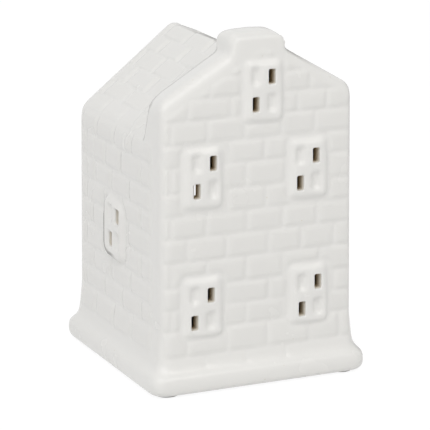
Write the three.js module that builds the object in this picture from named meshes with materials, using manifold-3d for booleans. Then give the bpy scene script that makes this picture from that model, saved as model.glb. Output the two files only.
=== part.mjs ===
// A small white glazed ceramic town house with a battery light unit plugged into its floor.
// Millimetres, +Z up, the facade faces -Y, the origin is the middle of the footprint on the table.

import * as THREE from 'three';
import Module from 'manifold-3d';
import { mergeVertices, mergeGeometries } from 'three/addons/utils/BufferGeometryUtils.js';

const wasm = await Module();
wasm.setup();

// Fits
const seatGap = 0.3;
const slideGap = 0.3;
const threadGap = 0.15;

// How far a cut runs past the surface it opens, and how far a joined solid is sunk in
const past = 1;
const sink = 0.5;

// House walls
const wallWidth = 77.4;
const wallDepth = 81;
const wallThickness = 4;
const cornerRadius = 3.6;
const draftHeight = 50;
const draftPerMm = 0.008;

// Plinth moulding, under the wall courses
const plinthProjection = 4.7;
const plinthCoveTop = 16;
const plinthRollHeight = 4.6;
const plinthCornerRadius = 6.2;
const plinthFootInset = 1.5;

// Main roof behind the facade
const eaveHeight = 92;
const ridgeHeight = 122.4;
const eaveRounding = 3;
const ridgeRounding = 1.4;

// Facade slab, which stands above the main roof and ends in a chimney
const slabDepth = 12;
const slabEaveRise = 16.6;
const slabPeakRise = 8.1;
const slabRearDrop = 3;
const slabEdgeRadius = 2;
const slabCornerCut = 2.8;
const slabFootRise = 3;
const slabHollowReach = 20;
const chimneyCentreX = -0.2;
const chimneyWidth = 22.8;
const chimneyHeight = 7;
const chimneyCrown = 0.6;
const chimneyCornerCut = 3.2;
const chimneyFootRadius = 1.5;
const leastCornerCut = 0.8;

// Brickwork
const firstCourse = 13.9;
const coursePitch = 8.72;
const brickRelief = 0.5;
const brickJoint = 1;
const brickCrown = 0.6;
const frontBrickLength = 14.7;
const frontBrickShift = -5.8;
const frontBorder = 3.8;
const sideBrickLength = 18.5;
const sideBorder = 3.6;
const sideBrickOverlap = 2.6;
const gableBorder = 6;
const roofRowCount = 6;
const roofBorder = 2.6;
const tileShift = 0.7;

// Windows: a raised pad with four panes. Seen from outside, the upper right and lower left
// panes are cut through, and the other two are blind
const padWidth = 17;
const padHeight = 24;
const padProud = 1.2;
const padCorner = 2.4;
const padBevel = 0.6;
const padSink = 1;
const paneSpacingX = 6.8;
const paneSpacingZ = 10;
const slotWidth = 2.9;
const slotHeight = 6.1;
const slotCorner = 0.7;
const dimpleWidth = 4;
const dimpleHeight = 6.8;
const dimpleCorner = 1.2;
const dimpleDepth = 0.9;
const frontWindowX = 21.6;
const lowerWindowRise = 15.2;
const upperWindowDrop = 12;
const gableWindowX = 1.9;
const gableWindowDrop = 20.8;
const sideWindowFromFacade = 44.6;
const sideWindowZ = 52.3;
const rearWindowX = 13.3;
const rearWindowZ = 50;

// Underside of the house
const padThickness = 1.2;
const padRecess = 0.7;
const footPadRadius = 4.6;
const footPadInset = 6.5;
const floorRecess = 3.2;
const floorRecessRadius = 29;
const floorThickness = 4;
const floorOpeningRadius = 23;
const footHeight = padThickness + seatGap - padRecess;
const floorUnderside = footHeight + floorRecess;
const floorTop = floorUnderside + floorThickness;

// Light unit, a round plug that hangs in the floor opening
const plateRadius = 27.5;
const plateThickness = 1.6;
const plateTop = floorUnderside - seatGap;
const plateUnderside = plateTop - plateThickness;
const gripRingWall = 1;
const gripRingFit = 0.2;
const housingRadius = floorOpeningRadius - seatGap - gripRingWall - gripRingFit;
const housingWall = 1.5;
const housingTop = 26;
const housingBottom = plateTop + seatGap;
const housingBeadHeight = 0.8;
const housingBeadProud = 0.7;
const housingEdge = 1;

// Button cells, size LR44, three in a row along X
const cellRadius = 5.8;
const cellLength = 5.4;
const cellCapRadius = 4.7;
const cellCapHeight = 0.5;
const cellEdge = 0.3;
const cellCount = 3;
const cellPitch = cellLength + seatGap;

// Battery tray over the cells
const trayY = -5;
const trayWall = 1.3;
const contactThickness = 0.4;
const bowReach = 1.6;
const cellRowLength = cellCount * cellPitch - seatGap;
const contactRoom = slideGap + contactThickness + seatGap;
const trayInnerLength = cellRowLength + 2 * contactRoom + bowReach;
const trayInnerWidth = 2 * cellRadius + 2 * slideGap;
const trayBottom = plateTop + 0.1;
const cellLift = 0.2;
const cellCentreZ = trayBottom + cellRadius + cellLift;
const trayCeiling = cellCentreZ + cellRadius + slideGap;
const trayTop = trayCeiling + trayWall;
const earLength = 5.2;
const earWidth = 5.2;
const earHeight = 4.4;
const contactWidth = 7;
const contactFootGap = 0.9;
const tailWidth = 2;
const tailRise = 2.2;

// Battery door and its two screws
const doorThickness = 1.4;
const doorCorner = 1.6;
const doorScrewX = trayInnerLength / 2 + trayWall + earLength / 2;
const doorEndMargin = 2.6;
const doorOverlap = 0.9;
const doorHalfLength = doorScrewX + doorEndMargin;
const doorHalfWidth = trayInnerWidth / 2 + doorOverlap;
const screwHeadRadius = 1.8;
const screwHeadHeight = 0.9;
const screwHeadRecess = 0.7;
const screwShankRadius = 0.9;
const screwShankLength = 4.2;
const screwSlotWidth = 0.5;
const screwSlotDepth = 0.45;

// Housing screws and their bosses
const bossX = 15.3;
const bossY = 8;
const bossRadius = 2.2;
const housingScrewLength = 7;

// Switch
const switchY = 11.4;
const switchLength = 8.6;
const switchWidth = 4.4;
const switchHeight = 4.6;
const switchWall = 0.8;
const sliderLength = 2.8;
const sliderTravel = 2;
const sliderBlockHeight = 1.3;
const knobLength = 1.8;
const knobWidth = 1.5;
const knobProud = 0.8;
const knobHoleCorner = 0.4;
const clipThickness = 1.2;
const clipHeight = 3.6;

// Lamp board, lamp and diffuser
const boardRadius = 12.5;
const boardThickness = 1.2;
const boardZ = 20.6;
const boardPinRadius = 0.9;
const boardPinOffset = 9.5;
const boardPinReach = 0.6;
const lampRadius = 2.5;
const lampFlangeRadius = 2.9;
const lampFlangeHeight = 1;
const lampHeight = 8.6;
const resistorRadius = 0.8;
const resistorLength = 3.4;
const resistorY = -7;
const resistorWireRadius = 0.3;
const resistorWireReach = 1.2;
const diffuserRadius = 9;
const diffuserHeight = 14;
const diffuserWall = 1.2;
const collarWall = 1;
const collarHeight = 1.5;
const leadRadius = 0.5;

// Solids

function toSolid(geometry) {
  const bare = geometry.index ? geometry.toNonIndexed() : geometry.clone();
  bare.deleteAttribute('normal');
  bare.deleteAttribute('uv');
  const merged = mergeVertices(bare, 1e-4);
  return new wasm.Manifold(new wasm.Mesh({
    numProp: 3,
    vertProperties: Float32Array.from(merged.attributes.position.array),
    triVerts: Uint32Array.from(merged.index.array),
  }));
}

function toGeometry(solid) {
  const mesh = solid.getMesh();
  const geometry = new THREE.BufferGeometry();
  geometry.setAttribute('position', new THREE.BufferAttribute(mesh.vertProperties, 3));
  geometry.setIndex(new THREE.BufferAttribute(mesh.triVerts, 1));
  geometry.computeVertexNormals();
  return geometry;
}

function solidOfMany(geometries) {
  const bare = geometries.map((geometry) => {
    const copy = geometry.index ? geometry.toNonIndexed() : geometry.clone();
    copy.deleteAttribute('normal');
    copy.deleteAttribute('uv');
    return copy;
  });
  return toSolid(mergeGeometries(bare));
}

function box(lowX, highX, lowY, highY, lowZ, highZ) {
  const geometry = new THREE.BoxGeometry(highX - lowX, highY - lowY, highZ - lowZ);
  geometry.translate((lowX + highX) / 2, (lowY + highY) / 2, (lowZ + highZ) / 2);
  return geometry;
}

function cylinder(radius, x, y, lowZ, highZ, sides = 24) {
  const geometry = new THREE.CylinderGeometry(radius, radius, highZ - lowZ, sides);
  geometry.rotateX(Math.PI / 2);
  geometry.translate(x, y, (lowZ + highZ) / 2);
  return geometry;
}

// A turned piece: profile points are [radius, height], and the axis is Z
function turned(profile, sides = 32) {
  const points = profile.map(([radius, height]) => new THREE.Vector2(radius, height));
  const geometry = new THREE.LatheGeometry(points, sides);
  geometry.rotateX(Math.PI / 2);
  return geometry;
}

function roundedRectangle(width, height, radius, arcSteps = 3) {
  const points = [];
  const corners = [[1, 1, 0], [-1, 1, 1], [-1, -1, 2], [1, -1, 3]];
  for (const [signX, signY, quarter] of corners) {
    for (let step = 0; step <= arcSteps; step += 1) {
      const angle = (quarter + step / arcSteps) * Math.PI / 2;
      const x = signX * (width / 2 - radius) + radius * Math.cos(angle);
      const y = signY * (height / 2 - radius) + radius * Math.sin(angle);
      points.push(new THREE.Vector2(x, y));
    }
  }
  return points;
}

// A solid through a stack of level rings with the same number of points
function stack(rings) {
  const count = rings[0].length;
  const positions = rings.flat().flatMap((point) => [point.x, point.y, point.z]);
  const index = [];
  for (let level = 0; level + 1 < rings.length; level += 1) {
    for (let at = 0; at < count; at += 1) {
      const next = (at + 1) % count;
      const low = level * count;
      const high = low + count;
      index.push(low + at, low + next, high + next, low + at, high + next, high + at);
    }
  }
  const top = (rings.length - 1) * count;
  for (let at = 1; at + 1 < count; at += 1) {
    index.push(0, at + 1, at);
    index.push(top, top + at, top + at + 1);
  }
  const geometry = new THREE.BufferGeometry();
  geometry.setAttribute('position', new THREE.Float32BufferAttribute(positions, 3));
  geometry.setIndex(index);
  return geometry;
}

function levelRing(halfX, halfY, radius, z) {
  const safeRadius = Math.min(radius, halfX - 0.1, halfY - 0.1);
  return roundedRectangle(2 * halfX, 2 * halfY, safeRadius).map(
    (point) => new THREE.Vector3(point.x, point.y, z),
  );
}

// An outline in X and Z, pushed from lowY to highY, with optional rounded edges
function upright(outline, lowY, highY, bevel = 0) {
  const shape = new THREE.Shape(outline);
  const geometry = new THREE.ExtrudeGeometry(shape, {
    depth: highY - lowY - 2 * bevel,
    bevelEnabled: bevel > 0,
    bevelSize: bevel,
    bevelThickness: bevel,
    bevelOffset: -bevel,
    bevelSegments: 2,
    steps: 1,
    curveSegments: 4,
  });
  geometry.rotateX(Math.PI / 2);
  geometry.translate(0, highY - bevel, 0);
  return geometry;
}

// House shell

const halfWidth = wallWidth / 2;
const halfDepth = wallDepth / 2;
const facadeY = -halfDepth;
const roofRise = (ridgeHeight - eaveHeight) / halfWidth;
const roofAngle = Math.atan(roofRise);
const slabEaveHeight = eaveHeight + slabEaveRise;
const slabSlope = (ridgeHeight + slabPeakRise - slabEaveHeight) / halfWidth;
const shoulderHeight = slabEaveHeight + slabSlope * (halfWidth - chimneyWidth / 2);
const chimneyTop = shoulderHeight + chimneyHeight;

// Half width of the main roof at a height, for a skin that lies some way under the outside
function roofHalfWidth(z, inset) {
  const drop = inset / Math.cos(roofAngle);
  return (ridgeHeight - drop - z) / roofRise;
}

function bodyRings() {
  const coveDrop = plinthCoveTop - plinthRollHeight;
  const moulding = [
    [0, plinthProjection - plinthFootInset],
    [0.6, plinthProjection - 0.5 * plinthFootInset],
    [1.8, plinthProjection - 0.1 * plinthFootInset],
    [plinthRollHeight, plinthProjection],
    [plinthRollHeight + 0.22 * coveDrop, 0.86 * plinthProjection],
    [plinthRollHeight + 0.36 * coveDrop, 0.5 * plinthProjection],
    [plinthRollHeight + 0.58 * coveDrop, 0.2 * plinthProjection],
    [plinthCoveTop, 0],
  ];
  const cornerGrowth = (plinthCornerRadius - cornerRadius) / plinthProjection;
  const rings = moulding.map(([z, out]) => (
    levelRing(halfWidth + out, halfDepth + out, cornerRadius + cornerGrowth * out, z)
  ));
  rings.push(levelRing(halfWidth, halfDepth, cornerRadius, eaveHeight - eaveRounding));
  rings.push(levelRing(halfWidth - 0.25 * eaveRounding, halfDepth, cornerRadius, eaveHeight));
  const slopeStart = eaveHeight + 0.75 * eaveRounding;
  rings.push(levelRing(roofHalfWidth(slopeStart, 0), halfDepth, cornerRadius, slopeStart));
  const slopeEnd = ridgeHeight - 2 * ridgeRounding;
  rings.push(levelRing(roofHalfWidth(slopeEnd, 0), halfDepth, cornerRadius, slopeEnd));
  rings.push(levelRing(1.1 * ridgeRounding, halfDepth - 0.3 * ridgeRounding, cornerRadius,
    ridgeHeight - 0.4 * ridgeRounding));
  return rings;
}

function cavityRings() {
  const inX = halfWidth - wallThickness;
  const inY = halfDepth - wallThickness;
  const slopeStart = ridgeHeight - wallThickness / Math.cos(roofAngle) - inX * roofRise;
  const slopeEnd = ridgeHeight - wallThickness / Math.cos(roofAngle) - ridgeRounding;
  return [
    levelRing(inX, inY, cornerRadius, floorRecess + floorThickness),
    levelRing(inX, inY, cornerRadius, slopeStart),
    levelRing(roofHalfWidth(slopeEnd, wallThickness), inY, cornerRadius, slopeEnd),
  ];
}

// The facade slab's outline, seen from the front, drawn in from the outside by an inset
function slabOutline(inset, bottomZ) {
  const half = halfWidth - inset;
  const drop = inset * Math.hypot(1, slabSlope);
  const apex = slabEaveHeight + slabSlope * halfWidth - drop;
  const slopeZ = (x) => apex - slabSlope * Math.abs(x);
  const cut = Math.max(slabCornerCut - 0.6 * inset, leastCornerCut);
  const left = chimneyCentreX - chimneyWidth / 2 + inset;
  const right = chimneyCentreX + chimneyWidth / 2 - inset;
  const top = chimneyTop - inset;
  const topCut = Math.max(chimneyCornerCut - 0.6 * inset, leastCornerCut);
  const points = [
    [-half, bottomZ],
    [half, bottomZ],
    [half, slopeZ(half) - cut],
    [half - 0.3 * cut, slopeZ(half) - 0.3 * cut],
    [half - cut, slopeZ(half - cut)],
    [right + chimneyFootRadius, slopeZ(right + chimneyFootRadius)],
    [right, slopeZ(right) + 0.7 * chimneyFootRadius],
    [right, top - topCut],
    [right - 0.3 * topCut, top - 0.3 * topCut],
    [right - topCut, top],
    [(left + right) / 2, top + chimneyCrown],
    [left + topCut, top],
    [left + 0.3 * topCut, top - 0.3 * topCut],
    [left, top - topCut],
    [left, slopeZ(left) + 0.7 * chimneyFootRadius],
    [left - chimneyFootRadius, slopeZ(left - chimneyFootRadius)],
    [-half + cut, slopeZ(half - cut)],
    [-half + 0.3 * cut, slopeZ(half) - 0.3 * cut],
    [-half, slopeZ(half) - cut],
  ];
  return points.map(([x, z]) => new THREE.Vector2(x, z));
}

// The slab's upper edge falls away to the rear, more so towards the eaves
function rollRearEdge(geometry) {
  const position = geometry.attributes.position;
  for (let at = 0; at < position.count; at += 1) {
    const x = Math.abs(position.getX(at));
    const back = (position.getY(at) - facadeY) / slabDepth;
    if (position.getZ(at) > eaveHeight && back > 0.5) {
      position.setZ(at, position.getZ(at) - slabRearDrop * x / halfWidth);
    }
  }
}

// Every wall is drawn upright, then leans in towards the top as a cast wall does
function lean(geometry) {
  const position = geometry.attributes.position;
  for (let at = 0; at < position.count; at += 1) {
    const z = position.getZ(at);
    const factor = 1 + draftPerMm * (draftHeight - z) / halfWidth;
    position.setX(at, position.getX(at) * factor);
    position.setY(at, position.getY(at) * factor);
  }
  geometry.computeVertexNormals();
  return geometry;
}

// A flat face of the house: a start point, a direction along the courses and one up them
function face(start, along, up) {
  const u = new THREE.Vector3(...along).normalize();
  const v = new THREE.Vector3(...up).normalize();
  const n = new THREE.Vector3().crossVectors(u, v);
  return (a, b, out) => new THREE.Vector3(...start)
    .addScaledVector(u, a)
    .addScaledVector(v, b)
    .addScaledVector(n, out);
}

// One pillowed brick on a face, with its foot sunk into the wall
function brick(place, lowA, highA, lowB, highB) {
  const rim = (inset, out) => [
    place(lowA + inset, lowB + inset, out),
    place(highA - inset, lowB + inset, out),
    place(highA - inset, highB - inset, out),
    place(lowA + inset, highB - inset, out),
  ];
  return stack([rim(0, -brickRelief), rim(brickCrown, brickRelief)]);
}

// Bricks between a low and a high limit on one course, in running bond
function courseBricks(place, low, high, lowB, highB, length, phase) {
  const bricks = [];
  const shortest = 2.5 * brickJoint + 2 * brickCrown;
  const first = Math.floor((low - phase) / length);
  for (let at = first; phase + at * length < high; at += 1) {
    const lowA = Math.max(phase + at * length, low) + brickJoint / 2;
    const highA = Math.min(phase + (at + 1) * length, high) - brickJoint / 2;
    if (highA - lowA > shortest) {
      bricks.push(brick(place, lowA, highA, lowB, highB));
    }
  }
  return bricks;
}

const frontFace = face([0, facadeY, 0], [1, 0, 0], [0, 0, 1]);
const rearFace = face([0, halfDepth, 0], [-1, 0, 0], [0, 0, 1]);
const leftFace = face([-halfWidth, facadeY, 0], [0, -1, 0], [0, 0, 1]);
const rightFace = face([halfWidth, facadeY, 0], [0, 1, 0], [0, 0, 1]);
const leftRoof = face([-halfWidth, facadeY, eaveHeight], [0, -1, 0],
  [Math.cos(roofAngle), 0, Math.sin(roofAngle)]);
const rightRoof = face([halfWidth, facadeY, eaveHeight], [0, 1, 0],
  [-Math.cos(roofAngle), 0, Math.sin(roofAngle)]);

function courseSpan(course) {
  const low = firstCourse + course * coursePitch + brickJoint / 2;
  return [low, low + coursePitch - brickJoint];
}

function frontBricks() {
  const bricks = [];
  const apex = slabEaveHeight + slabSlope * halfWidth - gableBorder;
  for (let course = 0; courseSpan(course)[1] < apex; course += 1) {
    const [lowB, highB] = courseSpan(course);
    const reach = Math.min(halfWidth - frontBorder, (apex - highB) / slabSlope);
    const phase = course % 2 === 0 ? frontBrickLength / 2 : 0;
    bricks.push(...courseBricks(frontFace, -reach, reach, lowB, highB, frontBrickLength,
      phase + frontBrickShift));
  }
  return bricks;
}

function rearBricks() {
  const bricks = [];
  const apex = ridgeHeight - gableBorder;
  for (let course = 0; courseSpan(course)[1] < apex; course += 1) {
    const [lowB, highB] = courseSpan(course);
    const reach = Math.min(halfWidth - frontBorder, (apex - highB) / roofRise);
    const phase = course % 2 === 0 ? frontBrickLength / 2 : 0;
    bricks.push(...courseBricks(rearFace, -reach, reach, lowB, highB, frontBrickLength, phase));
  }
  return bricks;
}

// The left and right walls count from the facade, so the left face runs backwards
function sideBricks(place, sign) {
  const bricks = [];
  const nearEnd = slabDepth - sideBrickOverlap;
  const farEnd = wallDepth - sideBorder;
  for (let course = 0; courseSpan(course)[1] < eaveHeight; course += 1) {
    const [lowB, highB] = courseSpan(course);
    const phase = nearEnd + (course % 2 === 0 ? 0 : sideBrickLength / 2);
    const low = sign > 0 ? nearEnd : -farEnd;
    const high = sign > 0 ? farEnd : -nearEnd;
    bricks.push(...courseBricks(place, low, high, lowB, highB, sideBrickLength, sign * phase));
  }
  return bricks;
}

function roofTiles(place, sign) {
  const tiles = [];
  const slopeLength = halfWidth / Math.cos(roofAngle);
  const lowest = eaveRounding;
  const rowPitch = (slopeLength - lowest - ridgeRounding) / roofRowCount;
  const nearEnd = slabDepth + brickJoint;
  const farEnd = wallDepth - roofBorder;
  for (let row = 0; row < roofRowCount; row += 1) {
    const lowB = lowest + row * rowPitch + brickJoint / 2;
    const phase = nearEnd + (tileShift - (row % 2) / 2) * sideBrickLength;
    const low = sign > 0 ? nearEnd : -farEnd;
    const high = sign > 0 ? farEnd : -nearEnd;
    tiles.push(...courseBricks(place, low, high, lowB, lowB + rowPitch - brickJoint,
      sideBrickLength, sign * phase));
  }
  return tiles;
}

const lowerWindowZ = plinthCoveTop + lowerWindowRise;
const upperWindowZ = eaveHeight - upperWindowDrop;
const gableWindowZ = chimneyTop - gableWindowDrop;

// A window's centre on its face
const windows = [
  { place: frontFace, a: -frontWindowX, b: lowerWindowZ },
  { place: frontFace, a: frontWindowX, b: lowerWindowZ },
  { place: frontFace, a: -frontWindowX, b: upperWindowZ },
  { place: frontFace, a: frontWindowX, b: upperWindowZ },
  { place: frontFace, a: gableWindowX, b: gableWindowZ },
  { place: leftFace, a: -sideWindowFromFacade, b: sideWindowZ },
  { place: rightFace, a: sideWindowFromFacade, b: sideWindowZ },
  { place: rearFace, a: -rearWindowX, b: rearWindowZ },
  { place: rearFace, a: rearWindowX, b: rearWindowZ },
];

function panel(place, a, b, width, height, radius, lowOut, highOut, bevel = 0) {
  const ring = (inset, out) => {
    const corner = Math.max(radius - inset, 0.3 * radius);
    return roundedRectangle(width - 2 * inset, height - 2 * inset, corner, 2)
      .map((point) => place(a + point.x, b + point.y, out));
  };
  if (bevel > 0) {
    return stack([ring(0, lowOut), ring(0, highOut - bevel), ring(bevel, highOut)]);
  }
  return stack([ring(0, lowOut), ring(0, highOut)]);
}

function windowPads() {
  return windows.map(({ place, a, b }) => (
    panel(place, a, b, padWidth, padHeight, padCorner, -padSink, padProud, padBevel)
  ));
}

function windowCuts() {
  const cuts = [];
  for (const { place, a, b } of windows) {
    for (const up of [-1, 1]) {
      for (const across of [-1, 1]) {
        const paneA = a + across * paneSpacingX / 2;
        const paneB = b + up * paneSpacingZ / 2;
        if (up === across) {
          cuts.push(panel(place, paneA, paneB, slotWidth, slotHeight, slotCorner,
            -wallThickness - past, padProud + past));
        } else {
          cuts.push(panel(place, paneA, paneB, dimpleWidth, dimpleHeight, dimpleCorner,
            padProud - dimpleDepth, padProud + past));
        }
      }
    }
  }
  return cuts;
}

const footPadX = halfWidth + plinthProjection - plinthFootInset - footPadInset;
const footPadY = halfDepth + plinthProjection - plinthFootInset - footPadInset;

const footPads = [];
for (const [side, signX] of [['left', -1], ['right', 1]]) {
  for (const [end, signY] of [['front', -1], ['rear', 1]]) {
    footPads.push({ name: `foot_pad_${end}_${side}`, x: signX * footPadX, y: signY * footPadY });
  }
}

function houseShell() {
  const slab = upright(slabOutline(0, plinthCoveTop + slabFootRise), facadeY, facadeY + slabDepth,
    slabEdgeRadius);
  rollRearEdge(slab);
  const slabHollow = upright(slabOutline(wallThickness, eaveHeight - slabHollowReach),
    facadeY + wallThickness, facadeY + slabDepth - wallThickness);
  let shell = toSolid(stack(bodyRings())).add(toSolid(slab));
  const bricks = [
    ...frontBricks(),
    ...rearBricks(),
    ...sideBricks(leftFace, -1),
    ...sideBricks(rightFace, 1),
    ...roofTiles(leftRoof, -1),
    ...roofTiles(rightRoof, 1),
  ];
  shell = shell.add(solidOfMany(bricks)).add(solidOfMany(windowPads()));
  shell = shell.subtract(toSolid(stack(cavityRings()))).subtract(toSolid(slabHollow));
  shell = shell.subtract(solidOfMany(windowCuts()));
  shell = shell.subtract(toSolid(
    cylinder(floorRecessRadius, 0, 0, -past, floorRecess, 40),
  ));
  shell = shell.subtract(toSolid(
    cylinder(floorOpeningRadius, 0, 0, -past, floorRecess + floorThickness + past, 40),
  ));
  const pockets = footPads.map(({ x, y }) => (
    cylinder(footPadRadius + slideGap, x, y, -past, padRecess, 20)
  ));
  shell = shell.subtract(solidOfMany(pockets));
  return lean(toGeometry(shell));
}

// Light unit

function rectangleHole(lowX, highX, lowY, highY, lowZ, highZ, radius) {
  const ring = (z) => roundedRectangle(highX - lowX, highY - lowY, radius).map((point) => (
    new THREE.Vector3(point.x + (lowX + highX) / 2, point.y + (lowY + highY) / 2, z)
  ));
  return stack([ring(lowZ), ring(highZ)]);
}

const knobWindow = sliderTravel + knobLength + 2 * slideGap;
const switchBottom = plateTop + seatGap;

function basePlate() {
  let plate = toSolid(cylinder(plateRadius, 0, 0, plateUnderside, plateTop, 36));
  for (const side of [-1, 1]) {
    const near = side * (switchLength / 2 + slideGap);
    const far = near + side * clipThickness;
    plate = plate.add(toSolid(box(Math.min(near, far), Math.max(near, far),
      switchY - switchWidth / 2, switchY + switchWidth / 2,
      plateTop - sink, plateTop + clipHeight)));
  }
  const below = plateUnderside - past;
  const above = plateTop + past;
  const doorHole = rectangleHole(-doorHalfLength - slideGap, doorHalfLength + slideGap,
    trayY - doorHalfWidth - slideGap, trayY + doorHalfWidth + slideGap,
    below, above, doorCorner + slideGap);
  const knobHole = rectangleHole(-knobWindow / 2, knobWindow / 2,
    switchY - knobWidth / 2 - slideGap, switchY + knobWidth / 2 + slideGap, below, above,
    knobHoleCorner);
  plate = plate.subtract(toSolid(doorHole)).subtract(toSolid(knobHole));
  for (const side of [-1, 1]) {
    plate = plate.subtract(toSolid(
      cylinder(screwShankRadius + slideGap, side * bossX, bossY, below, above, 16),
    ));
    plate = plate.subtract(toSolid(cylinder(screwHeadRadius + slideGap, side * bossX, bossY,
      below, plateUnderside + screwHeadRecess, 20)));
  }
  return toGeometry(plate);
}

function lightHousing() {
  const inside = housingRadius - housingWall;
  const ceiling = housingTop - housingWall;
  const beadLow = floorTop + seatGap;
  const beadRadius = housingRadius + housingBeadProud;
  let housing = toSolid(turned([
    [0, ceiling],
    [inside, ceiling],
    [inside, housingBottom],
    [housingRadius, housingBottom],
    [housingRadius, beadLow],
    [beadRadius, beadLow + 0.25 * housingBeadHeight],
    [beadRadius, beadLow + housingBeadHeight],
    [housingRadius, beadLow + 1.5 * housingBeadHeight],
    [housingRadius, housingTop - housingEdge],
    [housingRadius - housingEdge, housingTop],
    [0, housingTop],
  ], 36));
  const collarInner = diffuserRadius + slideGap;
  housing = housing.add(toSolid(turned([
    [collarInner, housingTop - sink],
    [collarInner + collarWall, housingTop - sink],
    [collarInner + collarWall, housingTop + collarHeight],
    [collarInner, housingTop + collarHeight],
    [collarInner, housingTop - sink],
  ], 24)));
  for (const side of [-1, 1]) {
    housing = housing.add(toSolid(
      cylinder(bossRadius, side * bossX, bossY, housingBottom, ceiling + sink, 16),
    ));
    housing = housing.add(toSolid(cylinder(boardPinRadius, side * boardPinOffset, 0,
      boardZ - boardPinReach, ceiling + sink, 12)));
    housing = housing.add(toSolid(cylinder(2 * boardPinRadius, side * boardPinOffset, 0,
      boardZ + boardThickness + seatGap, ceiling + sink, 12)));
    housing = housing.subtract(toSolid(cylinder(screwShankRadius + threadGap, side * bossX, bossY,
      housingBottom - past, housingBottom + housingScrewLength, 16)));
  }
  housing = housing.subtract(toSolid(
    cylinder(lampFlangeRadius + slideGap, 0, 0, ceiling - past, housingTop + past, 24),
  ));
  return toGeometry(housing);
}

function gripRing() {
  const inner = housingRadius + gripRingFit;
  const root = inner + 0.6 * gripRingWall;
  const lip = inner + gripRingWall;
  const low = housingBottom + gripRingFit;
  const high = floorTop;
  const height = high - low;
  return turned([
    [inner, low],
    [root, low],
    [lip, low + 0.2 * height],
    [root, low + 0.4 * height],
    [root, low + 0.55 * height],
    [lip, low + 0.75 * height],
    [root, low + 0.95 * height],
    [root, high],
    [inner, high],
    [inner, low],
  ], 36);
}

function batteryTray() {
  const outerX = trayInnerLength / 2 + trayWall;
  const outerY = trayInnerWidth / 2 + trayWall;
  let tray = toSolid(box(-outerX, outerX, trayY - outerY, trayY + outerY, trayBottom, trayTop));
  const earEnd = outerX + earLength;
  tray = tray.add(toSolid(box(-earEnd, earEnd, trayY - earWidth / 2, trayY + earWidth / 2,
    trayBottom, trayBottom + earHeight)));
  tray = tray.subtract(toSolid(box(-trayInnerLength / 2, trayInnerLength / 2,
    trayY - trayInnerWidth / 2, trayY + trayInnerWidth / 2, trayBottom - past, trayCeiling)));
  for (const side of [-1, 1]) {
    tray = tray.subtract(toSolid(cylinder(screwShankRadius + threadGap, side * doorScrewX, trayY,
      trayBottom - past, trayBottom + earHeight + past, 16)));
    const tailX = side * (trayInnerLength / 2 - slideGap - contactThickness / 2);
    tray = tray.subtract(toSolid(box(
      tailX - contactThickness / 2 - slideGap, tailX + contactThickness / 2 + slideGap,
      trayY - tailWidth / 2 - slideGap, trayY + tailWidth / 2 + slideGap,
      trayCeiling - past, trayTop + past,
    )));
  }
  return toGeometry(tray);
}

function batteryDoor() {
  let door = toSolid(rectangleHole(-doorHalfLength, doorHalfLength, trayY - doorHalfWidth,
    trayY + doorHalfWidth, plateUnderside, plateUnderside + doorThickness, doorCorner));
  for (const side of [-1, 1]) {
    door = door.subtract(toSolid(cylinder(screwShankRadius + slideGap, side * doorScrewX, trayY,
      plateUnderside - past, plateUnderside + doorThickness + past, 16)));
    door = door.subtract(toSolid(cylinder(screwHeadRadius + slideGap, side * doorScrewX, trayY,
      plateUnderside - past, plateUnderside + screwHeadRecess, 20)));
  }
  return toGeometry(door);
}

// A countersunk-seat screw with a straight driver slot, its head downwards
function screw(x, y, length) {
  const headTop = plateUnderside + screwHeadRecess - slideGap / 2;
  const headBottom = headTop - screwHeadHeight;
  const head = cylinder(screwHeadRadius, x, y, headBottom, headTop, 20);
  const shank = cylinder(screwShankRadius, x, y, headTop - sink, headTop + length, 16);
  const slot = box(x - screwHeadRadius - past, x + screwHeadRadius + past,
    y - screwSlotWidth / 2, y + screwSlotWidth / 2, headBottom - past, headBottom + screwSlotDepth);
  return toGeometry(toSolid(head).add(toSolid(shank)).subtract(toSolid(slot)));
}

function buttonCell() {
  const geometry = turned([
    [0, 0],
    [cellRadius - cellEdge, 0],
    [cellRadius, cellEdge],
    [cellRadius, cellLength - cellCapHeight - cellEdge],
    [cellRadius - cellEdge, cellLength - cellCapHeight],
    [cellCapRadius, cellLength - cellCapHeight],
    [cellCapRadius, cellLength - 0.5 * cellEdge],
    [cellCapRadius - 0.7 * cellEdge, cellLength],
    [0, cellLength],
  ], 20);
  geometry.rotateY(-Math.PI / 2);
  return geometry;
}

// The flat contact is at the right end of the row and the bowed one at the left end
const contactX = trayInnerLength / 2 - slideGap - contactThickness / 2;
const contactLow = trayBottom + contactFootGap;
const contactHigh = trayCeiling - slideGap;
const cellRowHigh = contactX - contactThickness / 2 - seatGap;

function flatContact() {
  const half = contactThickness / 2;
  const plate = box(contactX - half, contactX + half, trayY - contactWidth / 2,
    trayY + contactWidth / 2, contactLow, contactHigh);
  const tail = box(contactX - half, contactX + half, trayY - tailWidth / 2,
    trayY + tailWidth / 2, contactHigh - sink, trayTop + tailRise);
  return toGeometry(toSolid(plate).add(toSolid(tail)));
}

function bowedContact() {
  const half = contactThickness / 2;
  const flatX = -contactX;
  const outline = [];
  const steps = 10;
  const bow = (t) => flatX + bowReach * Math.sin(Math.PI * t) ** 1.5;
  const level = (t) => contactLow + (contactHigh - contactLow) * t;
  for (let step = 0; step <= steps; step += 1) {
    outline.push(new THREE.Vector2(bow(step / steps) + half, level(step / steps)));
  }
  for (let step = steps; step >= 0; step -= 1) {
    outline.push(new THREE.Vector2(bow(step / steps) - half, level(step / steps)));
  }
  const strip = upright(outline, trayY - contactWidth / 2, trayY + contactWidth / 2);
  const tail = box(flatX - half, flatX + half, trayY - tailWidth / 2,
    trayY + tailWidth / 2, contactHigh - sink, trayTop + tailRise);
  return toGeometry(toSolid(strip).add(toSolid(tail)));
}

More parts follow.
